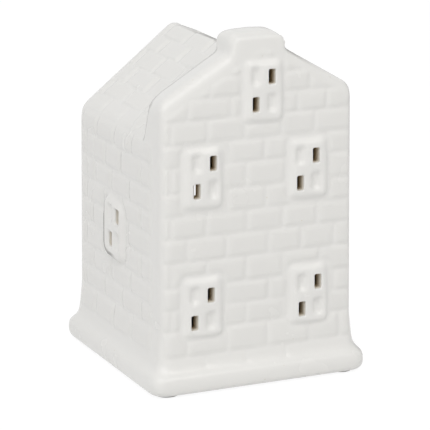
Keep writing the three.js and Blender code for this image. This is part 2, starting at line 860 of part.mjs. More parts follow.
function switchBody() {
  const halfLength = switchLength / 2;
  const halfBreadth = switchWidth / 2;
  const shell = box(-halfLength, halfLength, switchY - halfBreadth, switchY + halfBreadth,
    switchBottom, switchBottom + switchHeight);
  const runLength = sliderTravel + sliderLength + 2 * slideGap;
  const run = box(-runLength / 2, runLength / 2, switchY - halfBreadth + switchWall,
    switchY + halfBreadth - switchWall, switchBottom - past,
    switchBottom + sliderBlockHeight + 2 * slideGap);
  return toGeometry(toSolid(shell).subtract(toSolid(run)));
}

function switchSlider() {
  const offX = -sliderTravel / 2;
  const halfBreadth = switchWidth / 2 - switchWall - slideGap;
  const block = box(offX - sliderLength / 2, offX + sliderLength / 2, switchY - halfBreadth,
    switchY + halfBreadth, switchBottom + slideGap, switchBottom + slideGap + sliderBlockHeight);
  const knob = box(offX - knobLength / 2, offX + knobLength / 2, switchY - knobWidth / 2,
    switchY + knobWidth / 2, plateUnderside - knobProud, switchBottom + slideGap + sink);
  return toGeometry(toSolid(block).add(toSolid(knob)));
}

function lampBoard() {
  let board = toSolid(cylinder(boardRadius, 0, 0, boardZ, boardZ + boardThickness, 36));
  for (const side of [-1, 1]) {
    board = board.subtract(toSolid(cylinder(boardPinRadius + slideGap, side * boardPinOffset, 0,
      boardZ - past, boardZ + boardThickness + past, 12)));
  }
  return toGeometry(board);
}

const lampBase = boardZ + boardThickness + seatGap;

function lamp() {
  const shoulder = lampBase + lampHeight - lampRadius;
  const profile = [
    [0, lampBase],
    [lampFlangeRadius, lampBase],
    [lampFlangeRadius, lampBase + lampFlangeHeight],
    [lampRadius, lampBase + lampFlangeHeight],
  ];
  const arcSteps = 4;
  for (let step = 0; step < arcSteps; step += 1) {
    const angle = step / arcSteps * Math.PI / 2;
    profile.push([lampRadius * Math.cos(angle), shoulder + lampRadius * Math.sin(angle)]);
  }
  profile.push([0, shoulder + lampRadius]);
  return turned(profile, 20);
}

function resistor() {
  const z = lampBase + resistorRadius;
  const body = new THREE.CylinderGeometry(resistorRadius, resistorRadius, resistorLength, 12);
  body.rotateZ(Math.PI / 2);
  body.translate(0, resistorY, z);
  const wireLength = resistorLength + 2 * resistorWireReach;
  const wire = new THREE.CylinderGeometry(resistorWireRadius, resistorWireRadius, wireLength, 8);
  wire.rotateZ(Math.PI / 2);
  wire.translate(0, resistorY, z);
  return toGeometry(toSolid(body).add(toSolid(wire)));
}

function diffuser() {
  const low = housingTop + seatGap;
  const top = low + diffuserHeight;
  const arcSteps = 4;
  const dome = (radius, height) => {
    const points = [];
    for (let step = 0; step < arcSteps; step += 1) {
      const angle = step / arcSteps * Math.PI / 2;
      points.push([radius * Math.cos(angle), height - radius + radius * Math.sin(angle)]);
    }
    return points;
  };
  const outer = dome(diffuserRadius, top);
  const inner = dome(diffuserRadius - diffuserWall, top - diffuserWall).reverse();
  return turned([
    [diffuserRadius, low],
    ...outer,
    [0, top],
    [0, top - diffuserWall],
    ...inner,
    [diffuserRadius - diffuserWall, low],
    [diffuserRadius, low],
  ], 20);
}

// A short insulated lead along a smooth route
function lead(route) {
  const path = new THREE.CatmullRomCurve3(route.map((point) => new THREE.Vector3(...point)));
  const section = new THREE.Shape();
  const sides = 8;
  for (let side = 0; side < sides; side += 1) {
    const angle = side / sides * 2 * Math.PI;
    const x = leadRadius * Math.cos(angle);
    const y = leadRadius * Math.sin(angle);
    if (side === 0) {
      section.moveTo(x, y);
    } else {
      section.lineTo(x, y);
    }
  }
  section.closePath();
  return new THREE.ExtrudeGeometry(section, {
    extrudePath: path,
    steps: 12,
    bevelEnabled: false,
  });
}

const leadUnder = boardZ - seatGap;
const tailEnd = trayTop + tailRise;
const switchTop = switchBottom + switchHeight;
const leadPast = contactThickness / 2 + seatGap + leadRadius;

const redRoute = [
  [contactX + leadPast, trayY, tailEnd - 1.4],
  [contactX + leadPast + 0.4, trayY + 5, tailEnd - 1.2],
  [contactX + 1, trayY + 10, tailEnd - 2.4],
  [5.5, switchY - 1, switchTop + 5],
  [3, switchY, switchTop + 2.4],
  [3, switchY, switchTop + seatGap],
];
const switchRoute = [
  [-2.5, switchY, switchTop + seatGap],
  [-2.5, switchY, switchTop + 2.4],
  [-2.5, switchY - 2.4, leadUnder - 4.5],
  [-2.5, switchY - 3.6, leadUnder - 2],
  [-2.5, switchY - 3.6, leadUnder],
];
const blackRoute = [
  [-contactX - leadPast, trayY, tailEnd - 1.4],
  [-contactX - leadPast, trayY + 2.5, tailEnd - 1.4],
  [-contactX + 0.6, trayY + 5, leadUnder - 2],
  [-contactX + 2, trayY + 5.6, leadUnder - 1.2],
  [-contactX + 2, trayY + 5.6, leadUnder],
];

// Materials

function finish(color, roughness, metalness = 0) {
  return new THREE.MeshStandardMaterial({ color, roughness, metalness });
}

const glaze = finish(0xecece6, 0.22);
const whitePlastic = finish(0xf0efea, 0.45);
const darkPlastic = finish(0x2b2b2d, 0.5);
const silicone = finish(0xd9d9d4, 0.7);
const feltGrey = finish(0xb9b6ae, 0.95);
const nickel = finish(0xc9c8c4, 0.3, 1);
const springSteel = finish(0xb8b6b0, 0.35, 1);
const boardGreen = finish(0x2f6b43, 0.55);
const lampClear = finish(0xf6efd8, 0.12);
const frosted = finish(0xf7f5ee, 0.6);
const redWire = finish(0xa8241f, 0.5);
const blackWire = finish(0x1c1c1d, 0.5);
const resistorTan = finish(0xcdb58a, 0.5);

// Assembly

function part(name, geometry, material) {
  const mesh = new THREE.Mesh(geometry, material);
  mesh.name = name;
  return mesh;
}

const house = new THREE.Group();
const shellMesh = part('house_shell', houseShell(), glaze);
shellMesh.position.z = footHeight;
house.add(shellMesh);

const feet = new THREE.Group();
for (const { name, x, y } of footPads) {
  const footPad = part(name, cylinder(footPadRadius, 0, 0, 0, padThickness, 24), feltGrey);
  const factor = 1 + draftPerMm * draftHeight / halfWidth;
  footPad.position.set(x * factor, y * factor, 0);
  feet.add(footPad);
}
house.add(feet);

const lightUnit = new THREE.Group();
lightUnit.add(part('light_base_plate', basePlate(), whitePlastic));
lightUnit.add(part('light_housing', lightHousing(), whitePlastic));
lightUnit.add(part('grip_ring', gripRing(), silicone));
lightUnit.add(part('battery_tray', batteryTray(), whitePlastic));
lightUnit.add(part('flat_contact', flatContact(), springSteel));
lightUnit.add(part('bowed_contact', bowedContact(), springSteel));
lightUnit.add(part('switch_body', switchBody(), darkPlastic));
lightUnit.add(part('lamp_board', lampBoard(), boardGreen));
lightUnit.add(part('led_lamp', lamp(), lampClear));
lightUnit.add(part('lamp_resistor', resistor(), resistorTan));
lightUnit.add(part('diffuser_dome', diffuser(), frosted));
lightUnit.add(part('red_lead', lead(redRoute), redWire));
lightUnit.add(part('switch_lead', lead(switchRoute), redWire));
lightUnit.add(part('black_lead', lead(blackRoute), blackWire));
for (const [side, sign] of [['left', -1], ['right', 1]]) {
  lightUnit.add(part(`housing_screw_${side}`,
    screw(sign * bossX, bossY, housingScrewLength), nickel));
}
house.add(lightUnit);

const batteryHatch = new THREE.Group();
batteryHatch.add(part('battery_door', batteryDoor(), whitePlastic));
for (const [side, sign] of [['left', -1], ['right', 1]]) {
  batteryHatch.add(part(`door_screw_${side}`,
    screw(sign * doorScrewX, trayY, screwShankLength), nickel));
}
for (let at = 0; at < cellCount; at += 1) {
  const cell = part(`button_cell_${at + 1}`, buttonCell(), nickel);
  cell.position.set(cellRowHigh - at * cellPitch, trayY, cellCentreZ);
  batteryHatch.add(cell);
}
house.add(batteryHatch);

house.add(part('switch_slider', switchSlider(), darkPlastic));

export default house;
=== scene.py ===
import math
import random

import bpy
import numpy as np
from mathutils import Matrix


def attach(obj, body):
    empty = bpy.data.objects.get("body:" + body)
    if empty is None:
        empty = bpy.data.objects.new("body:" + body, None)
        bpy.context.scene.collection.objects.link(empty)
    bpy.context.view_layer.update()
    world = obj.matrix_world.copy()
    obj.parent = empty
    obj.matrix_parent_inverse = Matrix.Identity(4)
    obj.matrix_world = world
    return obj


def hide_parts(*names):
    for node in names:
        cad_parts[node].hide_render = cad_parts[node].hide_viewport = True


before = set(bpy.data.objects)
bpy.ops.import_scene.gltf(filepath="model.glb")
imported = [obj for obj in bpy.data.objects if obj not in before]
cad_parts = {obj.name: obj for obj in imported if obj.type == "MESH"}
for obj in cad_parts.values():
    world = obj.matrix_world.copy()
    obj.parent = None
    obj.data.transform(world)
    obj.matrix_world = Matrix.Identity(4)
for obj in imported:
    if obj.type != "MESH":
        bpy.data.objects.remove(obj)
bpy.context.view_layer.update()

# Camera
# The photograph is taken from nine tenths of a metre with a long lens, a little above the house
# and to the left of its facade.
camera_place = (-0.36735, -0.8075, 0.28464)
camera_turn = -24.52
camera_dip = 14.51
camera_lens = 201.28
sensor_width = 36

bpy.ops.object.select_all(action="DESELECT")
bpy.ops.object.camera_add(
    location=camera_place,
    rotation=(math.radians(90 - camera_dip), 0, math.radians(camera_turn)),
)
camera = bpy.context.object
camera.data.lens = camera_lens
camera.data.sensor_width = sensor_width
bpy.context.scene.camera = camera

# Studio
# A seamless white table and backdrop. A large soft box hangs to the upper left in front of the
# house, and the white room fills the shadows.
table_half = 3.0
table_paper = (0.84, 0.84, 0.84, 1)
table_glow = 1.12
shadow_share = 0.19
room_fill_left = 0.62
room_fill_right = 0.49
soft_box_place = (-0.74, -0.78, 1.17)
soft_box_side = 1.4
soft_box_power = 8.9
soft_box_tint = (1.0, 0.985, 0.96)
brow_light_place = (0.3, -0.98, 0.86)
brow_light_side = 0.4
brow_light_power = 1.7
brow_light_tint = (1.0, 0.97, 0.92)



def settle(name):
    """Names the object just added and moves its place and size into its mesh."""
    piece = bpy.context.object
    piece.name = name
    bpy.ops.object.transform_apply(location=True, rotation=True, scale=True)
    return piece


bpy.ops.object.select_all(action="DESELECT")
bpy.ops.mesh.primitive_plane_add(size=2 * table_half, location=(0, 0, 0))
table = settle("studio_table")


def feed(links, socket, value):
    """Links an output to the socket, or else sets the socket's own value."""
    if isinstance(value, bpy.types.NodeSocket):
        links.new(value, socket)
    else:
        socket.default_value = value


def between(nodes, links, value, low, high, out_low=0.0, out_high=1.0):
    """Maps a value from one span to another, held at the ends."""
    made = nodes.new("ShaderNodeMapRange")
    names = ("Value", "From Min", "From Max", "To Min", "To Max")
    for name, given in zip(names, (value, low, high, out_low, out_high)):
        feed(links, made.inputs[name], given)
    return made.outputs["Result"]


def calculate(nodes, links, operation, *values):
    """One step of arithmetic on numbers and node outputs."""
    made = nodes.new("ShaderNodeMath")
    made.operation = operation
    for socket, value in zip(made.inputs, values):
        feed(links, socket, value)
    return made.outputs[0]


def direct_look(nodes, links):
    """One for the rays that show the background: the camera's, mirrored ones and those in glass."""
    path = nodes.new("ShaderNodeLightPath")
    seen = calculate(nodes, links, "MAXIMUM",
                     path.outputs["Is Camera Ray"], path.outputs["Is Glossy Ray"])
    return calculate(nodes, links, "MAXIMUM", seen, path.outputs["Is Transmission Ray"])


def mix_shaders(nodes, links, share, first, second):
    made = nodes.new("ShaderNodeMixShader")
    for socket, output in zip(made.inputs, (share, first, second)):
        links.new(output, socket)
    return made.outputs[0]


def emptied(owner):
    """The nodes and links of a material or a world, without those that it starts with."""
    owner.use_nodes = True
    owner.node_tree.nodes.clear()
    return owner.node_tree.nodes, owner.node_tree.links


white = (1, 1, 1, 1)
paper = bpy.data.materials.new("studio_paper")
nodes, links = emptied(paper)
matte = nodes.new("ShaderNodeBsdfDiffuse")
matte.inputs["Color"].default_value = table_paper
glow = nodes.new("ShaderNodeEmission")
glow.inputs["Color"].default_value = white
glow.inputs["Strength"].default_value = table_glow
share = calculate(nodes, links, "MULTIPLY", direct_look(nodes, links), 1 - shadow_share)
mixed = mix_shaders(nodes, links, share, matte.outputs[0], glow.outputs[0])
links.new(mixed, nodes.new("ShaderNodeOutputMaterial").inputs["Surface"])
table.data.materials.append(paper)

world = bpy.data.worlds.new("white_room")
bpy.context.scene.world = world
nodes, links = emptied(world)
room = nodes.new("ShaderNodeBackground")
room.inputs["Color"].default_value = white
facing_way = nodes.new("ShaderNodeSeparateXYZ")
links.new(nodes.new("ShaderNodeTexCoord").outputs["Generated"], facing_way.inputs[0])
fill = between(nodes, links, facing_way.outputs["X"], -1, 1, room_fill_left, room_fill_right)
links.new(fill, room.inputs["Strength"])
backdrop = nodes.new("ShaderNodeBackground")
backdrop.inputs["Color"].default_value = white
mixed = mix_shaders(nodes, links, direct_look(nodes, links), room.outputs[0], backdrop.outputs[0])
links.new(mixed, nodes.new("ShaderNodeOutputWorld").inputs["Surface"])

house_middle = (0, 0, 0.06)
for place, side, power, tint in (
    (soft_box_place, soft_box_side, soft_box_power, soft_box_tint),
    (brow_light_place, brow_light_side, brow_light_power, brow_light_tint),
):
    bpy.ops.object.select_all(action="DESELECT")
    bpy.ops.object.light_add(type="AREA", location=place)
    lamp = bpy.context.object
    lamp.data.shape = "SQUARE"
    lamp.data.size = side
    lamp.data.energy = power
    lamp.data.color = tint
    aim = [there - here for here, there in zip(place, house_middle)]
    lamp.rotation_euler = (
        math.atan2(math.hypot(aim[0], aim[1]), -aim[2]), 0, math.atan2(-aim[0], aim[1]),
    )

# A low black card behind the house, seen only in reflections, is painted shade: it stands in for the
# house's shadow on the table behind it and draws thin dark contours round its glossy edges
card_width = 0.42
card_height = 0.17
card_place = (0.27, 0.2, card_height / 2)
card_turn = -29
card_black = (0.02, 0.02, 0.02, 1)
bpy.ops.object.select_all(action="DESELECT")
bpy.ops.mesh.primitive_plane_add(
    size=1, location=card_place, rotation=(math.radians(90), 0, math.radians(card_turn)))
bpy.context.object.scale = (card_width, card_height, 1)
card = settle("studio_black_card")
card.visible_camera = False
card.visible_diffuse = False
card.visible_transmission = False
card.visible_shadow = False
black = bpy.data.materials.new("studio_black")
black.use_nodes = True
black.node_tree.nodes["Principled BSDF"].inputs["Base Color"].default_value = card_black
card.data.materials.append(black)

bpy.context.scene.view_settings.view_transform = "Standard"

# Ceramic house
# One slip-cast shell of white earthenware, three millimetres thick. The mould gives it brick
# courses and raised windows, and a thick white glaze has softened every edge.
mm = 0.001
wall_width = 77.4 * mm
wall_depth = 81 * mm
wall_thickness = 3.2 * mm
eave_height = 92.5 * mm
ridge_height = 123.1 * mm
corner_radius = 2.6 * mm
eave_rounding = 4 * mm
ridge_rounding = 2.2 * mm
verge_rounding = 1.8 * mm
half_width = wall_width / 2
half_depth = wall_depth / 2
roof_rise = (ridge_height - eave_height) / half_width
touching = 0.05 * mm
weld_distance = 0.1 * mm
# A face looks straight along an axis from this share of its normal, and roughly from that one
straight_share = 0.9
rough_share = 0.5


def in_mm(rows):
    return [[size * mm for size in row] for row in rows]


def near(a, b):
    return abs(a - b) < touching


def take(piece):
    bpy.ops.object.select_all(action="DESELECT")
    piece.select_set(True)
    bpy.context.view_layer.objects.active = piece


def block(name, low, high):
    """A rectangular block between two corners."""
    bpy.ops.object.select_all(action="DESELECT")
    middle = [(a + b) / 2 for a, b in zip(low, high)]
    bpy.ops.mesh.primitive_cube_add(size=1, location=middle)
    bpy.context.object.scale = [b - a for a, b in zip(low, high)]
    return settle(name)


def pick(piece, kind, rule):
    """Opens the piece for editing with the faces, edges or vertices chosen that the rule takes."""
    take(piece)
    bpy.ops.object.mode_set(mode="EDIT")
    bpy.ops.mesh.select_mode(type=kind)
    bpy.ops.mesh.select_all(action="DESELECT")
    bpy.ops.object.mode_set(mode="OBJECT")
    mesh = piece.data
    if kind == "FACE":
        for face in mesh.polygons:
            face.select = rule(face.center, face.normal)
    elif kind == "EDGE":
        for edge in mesh.edges:
            edge.select = rule(*(mesh.vertices[at].co for at in edge.vertices))
    else:
        for vertex in mesh.vertices:
            vertex.select = rule(vertex.co)
    bpy.ops.object.mode_set(mode="EDIT")


def close():
    """Ends the editing that pick has opened."""
    bpy.ops.object.mode_set(mode="OBJECT")


def shift(piece, by, rule):
    """Moves the vertices that the rule takes."""
    pick(piece, "VERT", rule)
    bpy.ops.transform.translate(value=by)
    close()


def split_across(piece, places):
    """Cuts edges into the piece at these places along X."""
    for x in places:
        pick(piece, "FACE", lambda middle, normal: True)
        bpy.ops.mesh.bisect(plane_co=(x, 0, 0), plane_no=(1, 0, 0))
        close()


def gabled_block(name, low, high, ridge):
    """A block under a roof whose ridge runs along Y."""
    piece = block(name, low, high)
    pick(piece, "FACE", lambda middle, normal: normal.z > straight_share)
    bpy.ops.mesh.extrude_region_move(TRANSFORM_OT_translate={"value": (0, 0, ridge - high[2])})
    bpy.ops.transform.resize(value=(0, 1, 1), center_override=(0, 0, ridge))
    bpy.ops.mesh.remove_doubles(threshold=weld_distance)
    close()
    return piece


def finish_with(piece, kind, **settings):
    """Adds a modifier with these settings and applies it."""
    take(piece)
    modifier = piece.modifiers.new(kind.title(), kind)
    for key, value in settings.items():
        setattr(modifier, key, value)
    bpy.ops.object.modifier_apply(modifier=modifier.name)


def round_edges(piece, radius_of, segments=4):
    """Rounds each edge with the radius that the rule gives for its two ends."""
    mesh = piece.data
    radii = []
    for edge in mesh.edges:
        radii.append(radius_of(*(mesh.vertices[at].co for at in edge.vertices)))
    largest = max(radii)
    weights = mesh.attributes.new("bevel_weight_edge", "FLOAT", "EDGE")
    weights.data.foreach_set("value", [radius / largest for radius in radii])
    finish_with(piece, "BEVEL", width=largest, segments=segments, limit_method="WEIGHT",
                use_clamp_overlap=False)


# Walls and main roof
house = gabled_block("house_glazed_shell", (-half_width, -half_depth, 0),
                     (half_width, half_depth, eave_height), ridge_height)


def wall_radius(one, other):
    if near(one.z, 0) and near(other.z, 0):
        return 0
    if near(one.z, ridge_height) and near(other.z, ridge_height):
        return ridge_rounding
    if near(one.z, eave_height) and near(other.z, eave_height):
        return eave_rounding if not near(one.y, other.y) else 0
    if near(one.z, ridge_height) or near(other.z, ridge_height):
        return verge_rounding
    return corner_radius


round_edges(house, wall_radius)

# Facade slab and chimney
slab_depth = 14.8 * mm
slab_belly = 0.8 * mm
slab_turn = 33 * mm
slab_rear_draft = 0.32
slab_corner_draft = 1.2 * mm
slab_foot = 70 * mm
slab_eave = 108.6 * mm
slab_peak = 130.5 * mm
slab_rear_drop = 3 * mm
slab_right_rise = 0.8 * mm
slab_left_edge = 6 * mm
slab_right_edge = 2.2 * mm
slab_rear_edge = 0.8 * mm
slab_rear_corner = 2 * mm
slab_shoulder = 3.2 * mm
chimney_left = -10.8 * mm
chimney_right = 11.2 * mm
chimney_foot = 122.6 * mm
chimney_height = 6.9 * mm
chimney_crown = 0.5 * mm
chimney_brow_drop = 0.4 * mm
chimney_left_edge = 2.8 * mm
chimney_right_edge = 1.4 * mm
chimney_left_shoulder = 3.9 * mm
chimney_right_shoulder = 5.2 * mm
chimney_brow = 4.6 * mm
margin = 1 * mm
slab_rear = -half_depth + slab_depth
slab_slope = (slab_peak - slab_eave) / half_width
chimney_middle = (chimney_left + chimney_right) / 2
chimney_top = slab_eave + slab_slope * (half_width + chimney_left) + chimney_height
chimney_rim = chimney_top - chimney_brow_drop - margin

slab = block("facade_slab", (-half_width, -half_depth, slab_foot),
             (half_width, slab_rear, slab_eave))
slab_cuts = (-slab_turn, chimney_left, chimney_middle, chimney_right, slab_turn)
split_across(slab, slab_cuts)
for x in slab_cuts:
    rise = slab_slope * (half_width - abs(chimney_left if x == chimney_middle else x))
    shift(slab, (0, 0, rise), lambda place: near(place.x, x) and near(place.z, slab_eave))
shift(slab, (0, 0, slab_right_rise),
      lambda place: place.x > chimney_middle + margin and place.z > slab_foot + margin)
shift(slab, (0, slab_rear_draft * (slab_eave - slab_foot), 0),
      lambda place: near(place.y, slab_rear) and near(place.z, slab_foot))
for x, back in (
    (-half_width, -slab_corner_draft), (-slab_turn, slab_belly), (chimney_left, 0),
    (chimney_right, 0), (slab_turn, slab_belly), (half_width, -slab_corner_draft),
):
    shift(slab, (0, back, -slab_rear_drop * abs(x) / half_width),
          lambda place: near(place.x, x) and near(place.y, slab_rear)
          and place.z > slab_eave - margin)
pick(slab, "FACE", lambda middle, normal: normal.z > rough_share
     and chimney_left < middle.x < chimney_right)
bpy.ops.mesh.extrude_region_move(TRANSFORM_OT_translate={"value": (0, 0, chimney_height)})
close()
pick(slab, "VERT", lambda place: place.z > chimney_top - chimney_height / 2)
bpy.ops.transform.resize(value=(1, 1, 0), center_override=(0, 0, chimney_top))
close()
shift(slab, (0, 0, chimney_crown),
      lambda place: near(place.x, chimney_middle) and near(place.z, chimney_top))
shift(slab, (0, 0, -chimney_brow_drop),
      lambda place: near(place.y, -half_depth) and place.z > chimney_top - margin)


def slab_radius(one, other):
    middle = (one + other) / 2
    on_left = middle.x < 0
    at_corner = near(abs(middle.x), half_width)
    if middle.z < slab_foot + margin:
        return 0
    if not near(one.y, other.y):
        if at_corner:
            return slab_shoulder
        if near(middle.x, chimney_middle) or middle.z < chimney_rim:
            return 0
        return chimney_left_shoulder if on_left else chimney_right_shoulder
    upright = near(one.x, other.x)
    if upright and at_corner:
        return corner_radius if near(middle.y, -half_depth) else slab_rear_corner
    if upright and middle.z < chimney_foot:
        return 0
    if middle.z > chimney_rim:
        return chimney_brow
    if not near(middle.y, -half_depth):
        return slab_rear_edge
    if upright:
        return chimney_left_edge if on_left else chimney_right_edge
    return slab_left_edge if on_left else slab_right_edge


round_edges(slab, slab_radius)

# Plinth: a rolled foot under a hollow moulding
plinth_foot_out = 3.2 * mm
plinth_out = 4.7 * mm
plinth_corner = 5.6 * mm
plinth_profile = in_mm((
    # height above the foot, and how far the moulding stands out there
    (0.6, 3.95), (1.8, 4.55), (4.6, 4.7), (5.9, 4.5), (7.1, 4.04), (7.9, 3.2), (8.7, 2.35),
    (9.8, 1.65), (11.2, 1.2), (13.4, 0.85), (17, 0.6), (21, 0.3), (26, -0.5),
))

height_before = plinth_profile[0][0]
out_before = plinth_foot_out
plinth = block("plinth", (-half_width - out_before, -half_depth - out_before, 0),
               (half_width + out_before, half_depth + out_before, height_before))
for height, out in plinth_profile:
    pick(plinth, "FACE", lambda middle, normal: normal.z > straight_share
         and near(middle.z, height_before))
    if height > height_before:
        bpy.ops.mesh.extrude_region_move(
            TRANSFORM_OT_translate={"value": (0, 0, height - height_before)})
    grow = ((half_width + out) / (half_width + out_before),
            (half_depth + out) / (half_depth + out_before), 1)
    bpy.ops.transform.resize(value=grow, center_override=(0, 0, height))
    close()
    out_before = out
    height_before = height


def plinth_radius(one, other):
    if near(one.z, other.z):
        return 0
    out = max(0, abs((one.x + other.x) / 2) - half_width)
    return corner_radius + (plinth_corner - corner_radius) * out / plinth_out


round_edges(plinth, plinth_radius)

# The three solids fuse into one casting
glaze_grain = 0.8 * mm
bpy.ops.object.select_all(action="DESELECT")
for solid in (slab, plinth, house):
    solid.select_set(True)
bpy.context.view_layer.objects.active = house
bpy.ops.object.join()
finish_with(house, "REMESH", mode="VOXEL", voxel_size=glaze_grain)
finish_with(house, "SMOOTH", factor=0.5, iterations=8)

# Windows: a raised pad with four panes, of which the upper right and lower left ones are open
facade_windows = in_mm((
    # middle of the panes and middle of the raised pad, each across and up
    (-22.8, 31.1, -22.7, 31.8),
    (20.6, 31.2, 20.2, 32.0),
    (-21.9, 80.2, -22.7, 79.9),
    (19.8, 79.3, 20.0, 79.8),
    (1.7, 110.1, 1.7, 110.0),
))
side_windows = in_mm(((42.0, 53.1, 43.9, 52.8),))
rear_windows = in_mm(((-13.5, 49.2, -13.5, 49.2), (13.5, 49.2, 13.5, 49.2)))
pane_width = 2.7 * mm
pane_height = 5.5 * mm
side_pane_width = 3.5 * mm
pane_spread_across = 3.25 * mm
pane_spread_up = 4.95 * mm
pad_width = 17.4 * mm
pad_height = 24.4 * mm
pad_relief = 1.6 * mm

# Each wall is described by where it starts, which way its bricks count, and its outward normal
walls = {
    "facade": ((0, -half_depth), (1, 0), (0, -1), facade_windows),
    "left": ((-half_width, -half_depth), (0, 1), (-1, 0), side_windows),
    "right": ((half_width, -half_depth), (0, 1), (1, 0), side_windows),
    "rear": ((0, half_depth), (-1, 0), (0, 1), rear_windows),
}


def pane_middles(wall):
    """The middles of a wall's open panes and of its blind panes, along the wall and up it."""
    _, along, outward, windows = walls[wall]
    to_the_right = along[0] * -outward[1] + along[1] * outward[0]
    open_panes = []
    blind_panes = []
    for middle, height, _, _ in windows:
        for up in (-1, 1):
            for right in (-1, 1):
                pane = (middle + to_the_right * right * pane_spread_across,
                        height + up * pane_spread_up)
                (open_panes if up == right else blind_panes).append(pane)
    return open_panes, blind_panes


# Brick courses, measured up from the foot, with the upright joints of each course
course_joints, roof_courses = in_mm((
    (8, 13.5, 23.3, 31.4, 39.6, 48.9, 57.8, 66.2, 74.8, 84.2, 92.5, 101, 108.7, 116.2, 124.8),
    (1.2, 9, 16.5, 25, 33.5, 41.5, 48.8),
))
facade_joints = in_mm((
    (-22, -5.5, 10.5), (-28.8, -12.8, 3.5, 20.5, 33), (-35, -20, -5, 10, 25), (-28, -13, 4, 17.5, 31),
    (-35, -21, -5, 10, 25), (-28.5, -13, 4, 17.3, 31), (-35, -21, -4.5, 10, 24),
    (-29, -12.5, 3, 16, 29), (-35, -20, -5, 11, 28), (-29, -12, 2.5, 15, 28),
    (-35, -20.5, -5.5, 9.5, 23), (-28, -11, 3, 16, 28), (-19.5, -5, 9, 21), (-11, 3),
))
left_joints = in_mm((
    (8.5, 26.5, 44, 62), (18.5, 36.5, 54, 73), (9, 28.5, 47, 65), (18.5, 37, 54.5, 72.5),
    (10.5, 31, 48, 66), (19, 37, 55, 72), (9.5, 30, 47, 63.5), (18.5, 38, 53.5, 72),
    (9, 28, 45, 62),
))
right_joints = in_mm((
    (10, 28, 45.5, 64), (19.5, 37.5, 55, 72), (9.5, 27.5, 46, 64), (18, 36, 55.5, 73),
    (9, 30, 47, 65), (18, 38, 54, 71.5), (10.5, 29, 46, 64.5), (19.5, 37, 54.5, 73),
    (10, 27, 46, 63),
))
rear_joints = in_mm((
    (-21, -6, 10), (-29, -13, 3, 19), (-21, -6, 9, 24), (-28, -13, 3, 18), (-22, -5, 10, 25),
    (-29, -14, 2, 17), (-20, -6, 9, 25), (-28, -12, 4, 18), (-21, -5, 11, 25), (-29, -13, 2, 17),
    (-20, -5, 9, 22), (-11, 4), (-4, 8),
))
roof_joints = in_mm((
    (27, 45, 62.5), (35, 54, 73), (27, 46, 66), (36, 54.5, 73.5), (27, 46, 65.5), (36, 55, 74),
))
# Where the bricks of each wall begin and end, along it
facade_half = half_width - 0.5 * mm
rear_half = half_width - 2.7 * mm
side_start = 8.8 * mm
side_end = 77.2 * mm
brick_plans = {
    "facade": (facade_joints, -facade_half, facade_half),
    "left": (left_joints, side_start, side_end),
    "right": (right_joints, side_start, side_end),
    "rear": (rear_joints, -rear_half, rear_half),
}

brick_corner = 1.4 * mm
brick_melt = 1.6 * mm
shortest_brick = 3 * mm
lean_share = 0.3
lowest_course = 9 * mm
lowest_share = 0.45
joint_shade_reach = 0.7 * mm
chance = random.Random(11)


def rows_of(collection, name):
    """The X, Y and Z of every vertex, as three rows."""
    values = np.zeros(3 * len(collection))
    collection.foreach_get(name, values)
    return values.reshape(-1, 3).T


mesh = house.data
place_x, place_y, place_z = rows_of(mesh.vertices, "co")
facing_x, facing_y, facing_z = rows_of(mesh.vertex_normals, "vector")
bricks, pads, blinds, painted_shade = np.zeros((4, len(mesh.vertices)))


def soft_step(value):
    value = np.clip(value, 0, 1)
    return value * value * (3 - 2 * value)


def inside_by(along, up, low_along, high_along, low_up, high_up, corner):
    """How far each point lies inside a rectangle with rounded corners."""
    side = np.minimum(along - low_along, high_along - along)
    end = np.minimum(up - low_up, high_up - up)
    round_part = corner - np.hypot(np.maximum(corner - side, 0), np.maximum(corner - end, 0))
    return np.where((side < corner) & (end < corner), round_part, np.minimum(side, end))


def lay_bricks(chosen, along, up, courses, joints, first, last, clip=None, melt=brick_melt,
               relief=1.0, joint_shade_share=0, lap=0, tip=lean_share):
    """Raises every brick of a face, each leaning a little its own way."""
    for low, high, cuts in zip(courses, courses[1:], joints):
        ends = [first, *cuts, last]
        course_share = lowest_share if low < lowest_course else 1
        for start, end in zip(ends, ends[1:]):
            if end - start < shortest_brick:
                continue
            depth = inside_by(along, up, start, end, low - lap, high + lap, brick_corner)
            if clip is not None:
                depth = np.minimum(depth, clip)
            tip_along = chance.uniform(-1, 1) * tip
            tip_up = chance.uniform(-1, 1) * lean_share
            lean = (1 + tip_along * (2 * along - start - end) / (end - start)
                    + tip_up * (2 * up - low - high) / (high - low))
            raised = soft_step(depth / melt) * lean * relief * course_share
            bricks[chosen] = np.maximum(bricks[chosen], raised)
            # Painted shade: a thin dark line along the upright joint at each brick's far end
            if joint_shade_share:
                beside = np.abs(along - end + joint_shade_reach) / joint_shade_reach
                beside = np.maximum(beside, np.abs(up - (low + high) / 2) / (high - low) * 2)
                line = soft_step(1 - beside) * chance.uniform(0, joint_shade_share) * course_share**2
                painted_shade[chosen] = np.maximum(painted_shade[chosen], line)


